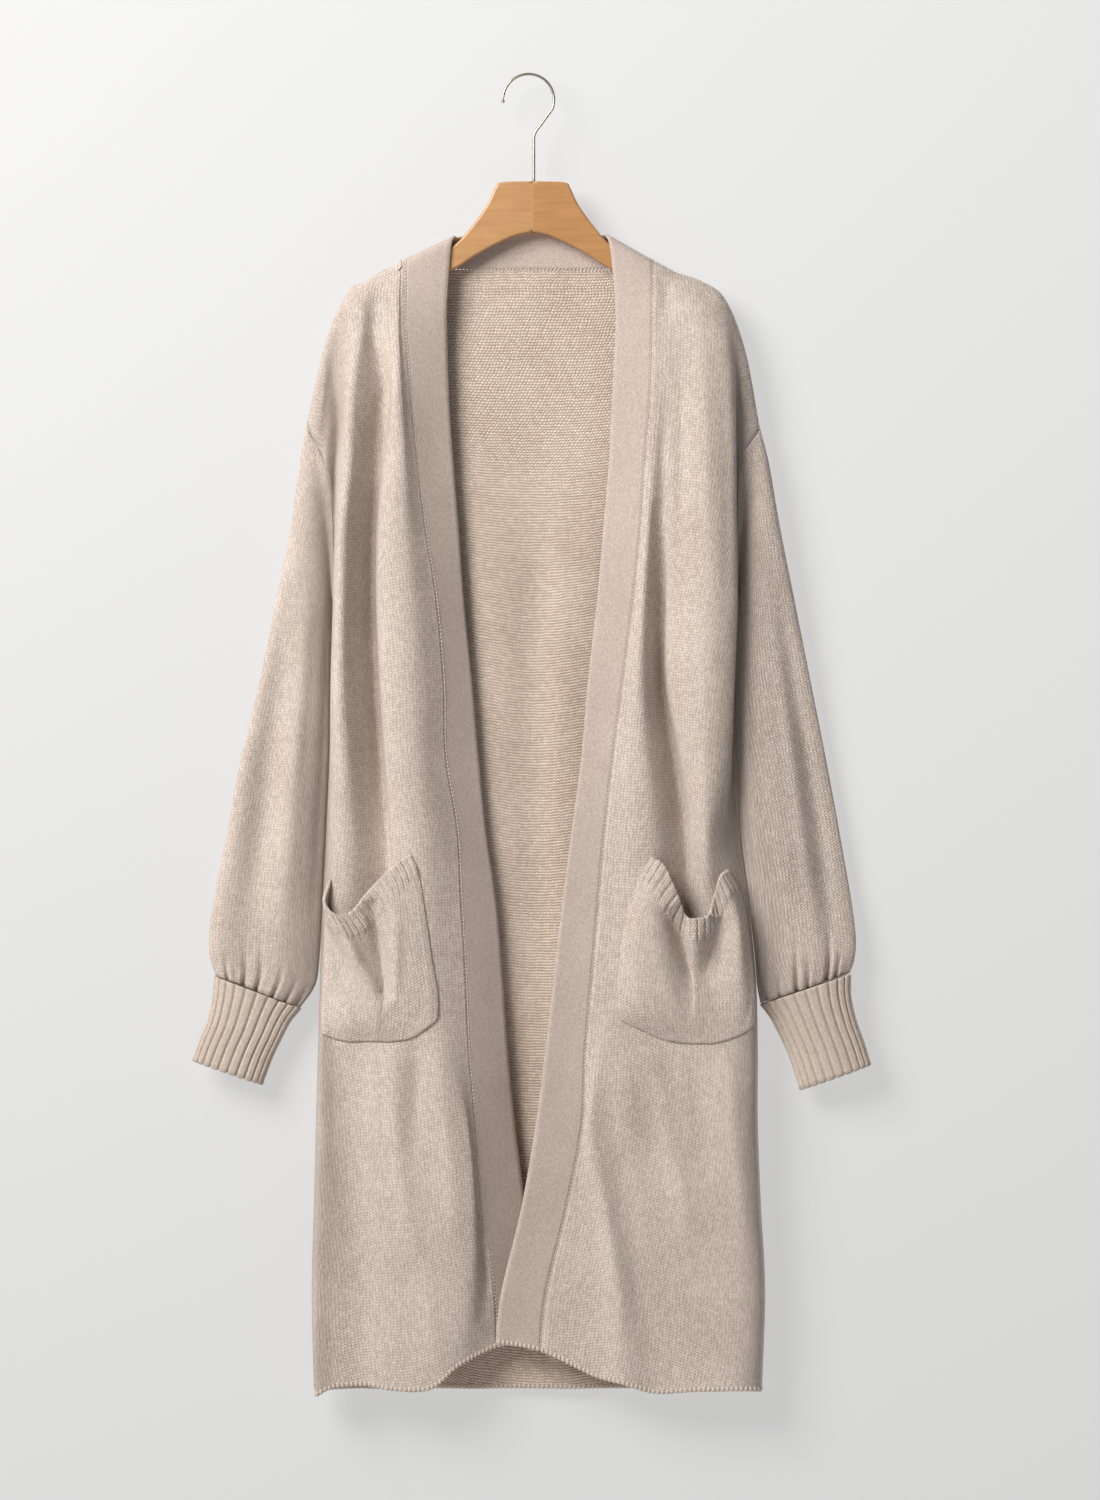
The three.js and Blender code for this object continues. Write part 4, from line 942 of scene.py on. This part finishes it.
# ---- Stitches ----
NECK_REACH = 78  # the neck links lie this far out from the middle
HEM_PITCH = 4.4  # from one stitch to the next
HEM_STITCH = (3.7, 6.6, 3.9)
HEM_RISE = 1.6  # of a stitch's middle above the edge
CHAIN_PITCH = 3.6
CHAIN_STITCH = (3.3, 1.5, 1.2)
NECK_STITCH = (2.6, 1.7, 1.5)
CHAIN_LIFT = 0.1  # of a chain's middle off the cloth
BEAD_UV = 0.002  # metres of yarn pattern to a bead's radius


def bead(segments=8, rings=5):
    """A small sphere of radius 1: its vertices and faces."""
    vertices = [(0, 0, 1)]
    for r in range(1, rings):
        tilt = math.pi * r / rings
        wide, high = math.sin(tilt), math.cos(tilt)
        for k in range(segments):
            turn = 2 * math.pi * k / segments
            vertices.append((wide * math.cos(turn), wide * math.sin(turn), high))
    vertices.append((0, 0, -1))
    faces = []
    for k in range(segments):
        after = (k + 1) % segments
        faces.append((0, 1 + k, 1 + after))
        for r in range(rings - 2):
            a, b = 1 + r * segments, 1 + (r + 1) * segments
            faces.append((a + k, b + k, b + after, a + after))
        end = 1 + (rings - 2) * segments
        faces.append((len(vertices) - 1, end + after, end + k))
    return np.array(vertices), faces


def stitches(name, points, ups, outs, pitch, size):
    """A row of stitches along a line of scene points: ups is along a stitch, outs off the cloth and
    size a stitch's width, length and thickness in millimetres."""
    far = lengths(points[None], 1)[0]
    count = max(2, round(far[-1] / (pitch * MM)))
    at = (np.arange(count) + 0.5) / count * far[-1]
    picked = [np.stack([np.interp(at, far, line[:, c]) for c in range(3)], -1)
              for line in (points, ups, outs)]
    sphere, sphere_faces = bead()
    vertices, faces, uvs = [], [], []
    for centre, up, out in zip(*picked):
        up, out = unit(up), unit(out)
        axes = np.stack([np.cross(up, out) * size[0], up * size[1], out * size[2]]) * MM / 2
        base = len(vertices) * len(sphere)
        vertices.append(centre + sphere @ axes)
        faces += [tuple(base + k for k in f) for f in sphere_faces]
        uvs += [sphere[k][:2] * BEAD_UV for f in sphere_faces for k in f]
    return new_object(name, np.concatenate(vertices), faces, (YARN,), uvs=uvs)


def hem(name, grid, facing):
    """The crocheted edging along the last row of a panel."""
    points = scene_points(grid)
    out = normals_of(points)[-1] * facing
    up = points[-3] - points[-1]
    middle = points[-1] - out * KNIT * MM / 2 + unit(up) * HEM_RISE * MM
    return stitches(name, middle, up, out, HEM_PITCH, HEM_STITCH)


def chains(grid):
    """The linking stitches that join the band to the fronts, outside, and to the back, inside."""
    points = scene_points(grid)
    line, up, away = points[:, -1], points[:, -2] - points[:, -1], normals_of(points)[:, -1]
    neck = [k for k, row in enumerate(grid) if abs(row[-1, 0]) < NECK_REACH and row[-1, 1] < 0]
    first, last = neck[0], neck[-1]
    inside = line - away * (BAND_KNIT * MM + CHAIN_LIFT * MM)
    made = [stitches("neck_links", inside[first:last], up[first:last], -away[first:last],
                     CHAIN_PITCH, NECK_STITCH)]
    for name, part in (("left", slice(0, first)), ("right", slice(last, None))):
        outside = (line + away * CHAIN_LIFT * MM)[part]
        made.append(stitches("band_links_" + name, outside, up[part], away[part], CHAIN_PITCH,
                             CHAIN_STITCH))
    return made


# ---- Hanger and hook ----
BEVEL = [(2.0, -5.5), (0.7, -5.1), (0.0, -4.0), (0.0, 4.0), (0.7, 5.1), (2.0, 5.5)]  # inset and y
JOINT = 0.08  # half of the gap between the hanger's two glued halves
OUTLINE_PLACES = 6  # for each stretch of the hanger's outline


def tube(count, rings):
    """The faces that join rings of count points, each to the next, and close the two ends."""
    faces = []
    for r in range(rings - 1):
        for k in range(count):
            a, b = r * count + k, r * count + (k + 1) % count
            faces.append((a, b, b + count, a + count))
    return faces + [tuple(range(count)), tuple(range((rings - 1) * count, rings * count))]


def hanger_half(side, material):
    stretches = len(HANGER_OUTLINE) - 1
    outline = through(HANGER_OUTLINE, np.linspace(0, stretches, OUTLINE_PLACES * stretches + 1))
    outline[0, 0] = outline[-1, 0] = JOINT
    tangent = np.gradient(outline, axis=0)
    tangent[0], tangent[-1] = (1, 0), (-1, 0)
    inward = unit(np.column_stack([-tangent[:, 1], tangent[:, 0]]))
    rings = []
    for inset, y in BEVEL:
        line = outline + inward * inset
        x = HANGER_CENTRE + side * np.maximum(line[:, 0], JOINT)
        rings.append(np.column_stack([x, np.full(len(line), y), -line[:, 1]]))
    count = len(outline)
    o = new_object("hanger_half_" + ("left" if side > 0 else "right"), np.concatenate(rings) * MM,
                   tube(count, len(rings)), (material,), "hanger")
    for k, polygon in enumerate(o.data.polygons[:-2]):
        polygon.use_smooth = k % count != count - 1
    for polygon in o.data.polygons[-2:]:
        polygon.use_smooth = False


SHANK_LINE = [[SHANK, WOOD_TOP - SEAM_GAP], [SHANK, 80], [SHANK, 60]]
BENDS = [[5.7, 57], [7.4, 53], [11.5, 47.5]]
LOOP_START = 0.42  # radians below the level of the loop's middle
LOOP_PLACES = 23
WIRE_STEP = 1.6  # between the wire's rings
WIRE_SIDES = 16
BALL_RINGS = 9
BALL_START = -0.95  # where the ball leaves the wire: from -1 to 1 is all of it
BALL_SQUASH = 2.2  # at 2 the ball would be as long as it is wide
BALL_TIP = 0.02  # how blunt it is


def hook():
    angles = np.linspace(-LOOP_START, math.pi, LOOP_PLACES)
    centre = HOOK_RADIUS - WIRE / 2
    loop = np.column_stack([HOOK_RADIUS * np.cos(angles), centre - HOOK_RADIUS * np.sin(angles)])
    path = np.array([*SHANK_LINE, *BENDS, *loop], float)
    wire = through(path[:-1], places(path[:-1], WIRE_STEP))
    tilt = np.linspace(BALL_START, 1, BALL_RINGS)
    ball = path[-1] + np.column_stack([np.zeros(BALL_RINGS), (tilt + 1) * HOOK_BALL / BALL_SQUASH])
    line = np.concatenate([wire, ball])
    radii = np.concatenate([np.full(len(wire), WIRE / 2),
                            HOOK_BALL / 2 * np.sqrt(np.maximum(BALL_TIP, 1 - tilt ** 2))])
    along = unit(np.gradient(line, axis=0))
    vertices = []
    for (x, drop), (tx, td), r in zip(line, along, radii):
        for angle in np.arange(WIRE_SIDES) / WIRE_SIDES * 2 * math.pi:
            out = math.cos(angle) * np.array([td, 0, tx]) + math.sin(angle) * np.array([0, 1, 0])
            vertices.append((np.array([x, 0, -drop]) + r * out) * MM)
    new_object("hook_wire", np.array(vertices), tube(WIRE_SIDES, len(line)), (steel_material(),),
               "hook")


# ---- The stage ----
# From here on in metres.
WALL_Y = 0.027  # just behind the back
FLOOR_Z = -1.50
REACH = 4.0  # of the wall and the floor
CAMERA = (0.0205, -4.5, -0.6442)
VIEW_HEIGHT = 1.4325  # of the picture, in the garment's plane
SENSOR = 36  # the film's side in millimetres


def plane(name, near, far, material):
    """A rectangle as wide as the stage, from one line of y and z to another."""
    mesh = bpy.data.meshes.new(name)
    corners = [(-REACH, *near), (REACH, *near), (REACH, *far), (-REACH, *far)]
    mesh.from_pydata(corners, [], [(0, 1, 2, 3)])
    mesh.materials.append(material)
    o = linked(name, mesh)
    return o


def pale(name, paint, glow, rise, one_sided):
    """Matt paint with a glow of its own so that shadows on it stay faint: glow is its strength
    at the hook's height and rise how much more painted light there is a metre up, lighter towards
    the top."""
    s = Shader(name)
    matt = s.node("BsdfDiffuse", {"Color": (paint, paint, paint, 1.0)}).outputs[0]
    height = s.node("SeparateXYZ", {0: s.node("TexCoord").outputs["Object"]}).outputs[2]
    strength = s.add(glow, s.times(height, rise))
    lit = s.node("Emission", {"Color": (1.0, 1.0, 1.0, 1.0), "Strength": strength}).outputs[0]
    shader = s.node("AddShader", {0: matt, 1: lit}).outputs[0]
    if one_sided:
        behind = s.node("NewGeometry").outputs["Backfacing"]
        clear = s.node("BsdfTransparent").outputs[0]
        shader = s.node("MixShader", {0: behind, 1: shader, 2: clear}).outputs[0]
    s.tree.links.new(shader, s.output.inputs["Surface"])
    return s.material


def stage():
    # The wall glows with painted light that grows towards the top, so the garment's shadows on it
    # stay faint.
    wall = plane("backdrop", (WALL_Y, FLOOR_Z), (WALL_Y, REACH),
                 pale("wall_paint_and_painted_light", 0.23, glow=0.565, rise=0.065, one_sided=True))
    wall.visible_shadow = False
    plane("floor", (-REACH, FLOOR_Z), (REACH, FLOOR_Z),
          pale("floor_paint", 0.3, glow=0.3, rise=0.0, one_sided=False))


def light(name, place, aim, size, power, colour=(1, 1, 1)):
    data = bpy.data.lights.new(name, "AREA")
    data.shape = "DISK"
    data.size = size
    data.energy = power
    data.color = colour
    o = linked(name, data)
    o.location = place
    o.rotation_euler = (Vector(aim) - Vector(place)).to_track_quat("-Z", "Y").to_euler()


def studio():
    scene = bpy.context.scene
    scene.view_settings.view_transform = "Standard"
    world = bpy.data.worlds.new("studio")
    world.use_nodes = True
    background = world.node_tree.nodes["Background"].inputs
    background["Color"].default_value = (1.0, 1.0, 1.0, 1.0)
    background["Strength"].default_value = 0.15
    scene.world = world
    light("key", (-1.95, -2.2, 1.15), aim=(0, 0, -0.3), size=2.0, power=160,
          colour=(1.0, 0.985, 0.965))
    light("back_fill", (1.5, 3.0, 0.8), aim=(0, 0, -0.6), size=2.0, power=60)


def camera():
    data = bpy.data.cameras.new("camera")
    data.sensor_fit = "VERTICAL"
    data.sensor_height = data.sensor_width = SENSOR
    data.lens = SENSOR * -CAMERA[1] / VIEW_HEIGHT
    o = linked("camera", data)
    o.location = CAMERA
    o.rotation_euler = (math.pi / 2, 0, 0)
    bpy.context.scene.camera = o


# ---- Building it ----
camera()
stage()
studio()
# The two halves differ a little in tone: the right one, on the viewer's left, is lighter.
oak_left = wood_material("oak_left", (200, 150, 96), (150, 100, 54), 0.45)
oak_right = wood_material("oak_right", (206, 160, 110), (158, 110, 64), -0.45)
hanger_half(1, oak_left)
hanger_half(-1, oak_right)
hook()

left_front, left_grid = front(LEFT, LEFT_CREASES)
right_front, right_grid = front(RIGHT, RIGHT_CREASES)
band_piece, band_grid = band()
back_piece, back_grid = back()
sleeves = [sleeve(LEFT, LEFT_SLEEVE, LEFT_SLEEVE_FOLDS, LEFT_TURN, LEFT_GATHERS),
           sleeve(RIGHT, RIGHT_SLEEVE, RIGHT_SLEEVE_FOLDS, RIGHT_TURN, RIGHT_GATHERS)]
cuffs = [cuff(LEFT, LEFT_CUFF), cuff(RIGHT, RIGHT_CUFF)]
pockets = [pocket(LEFT, LEFT_POCKET, LEFT_POCKET_CREASES),
           pocket(RIGHT, RIGHT_POCKET, RIGHT_POCKET_CREASES)]

left_hem = hem("hem_front_left", left_grid, -1)
right_hem = hem("hem_front_right", right_grid, 1)
back_hem = hem("hem_back", back_grid, 1)
band_hems = [hem("hem_band_left", band_grid[::-1], -1),
             hem("hem_band_right", band_grid, 1)]
links = chains(band_grid)
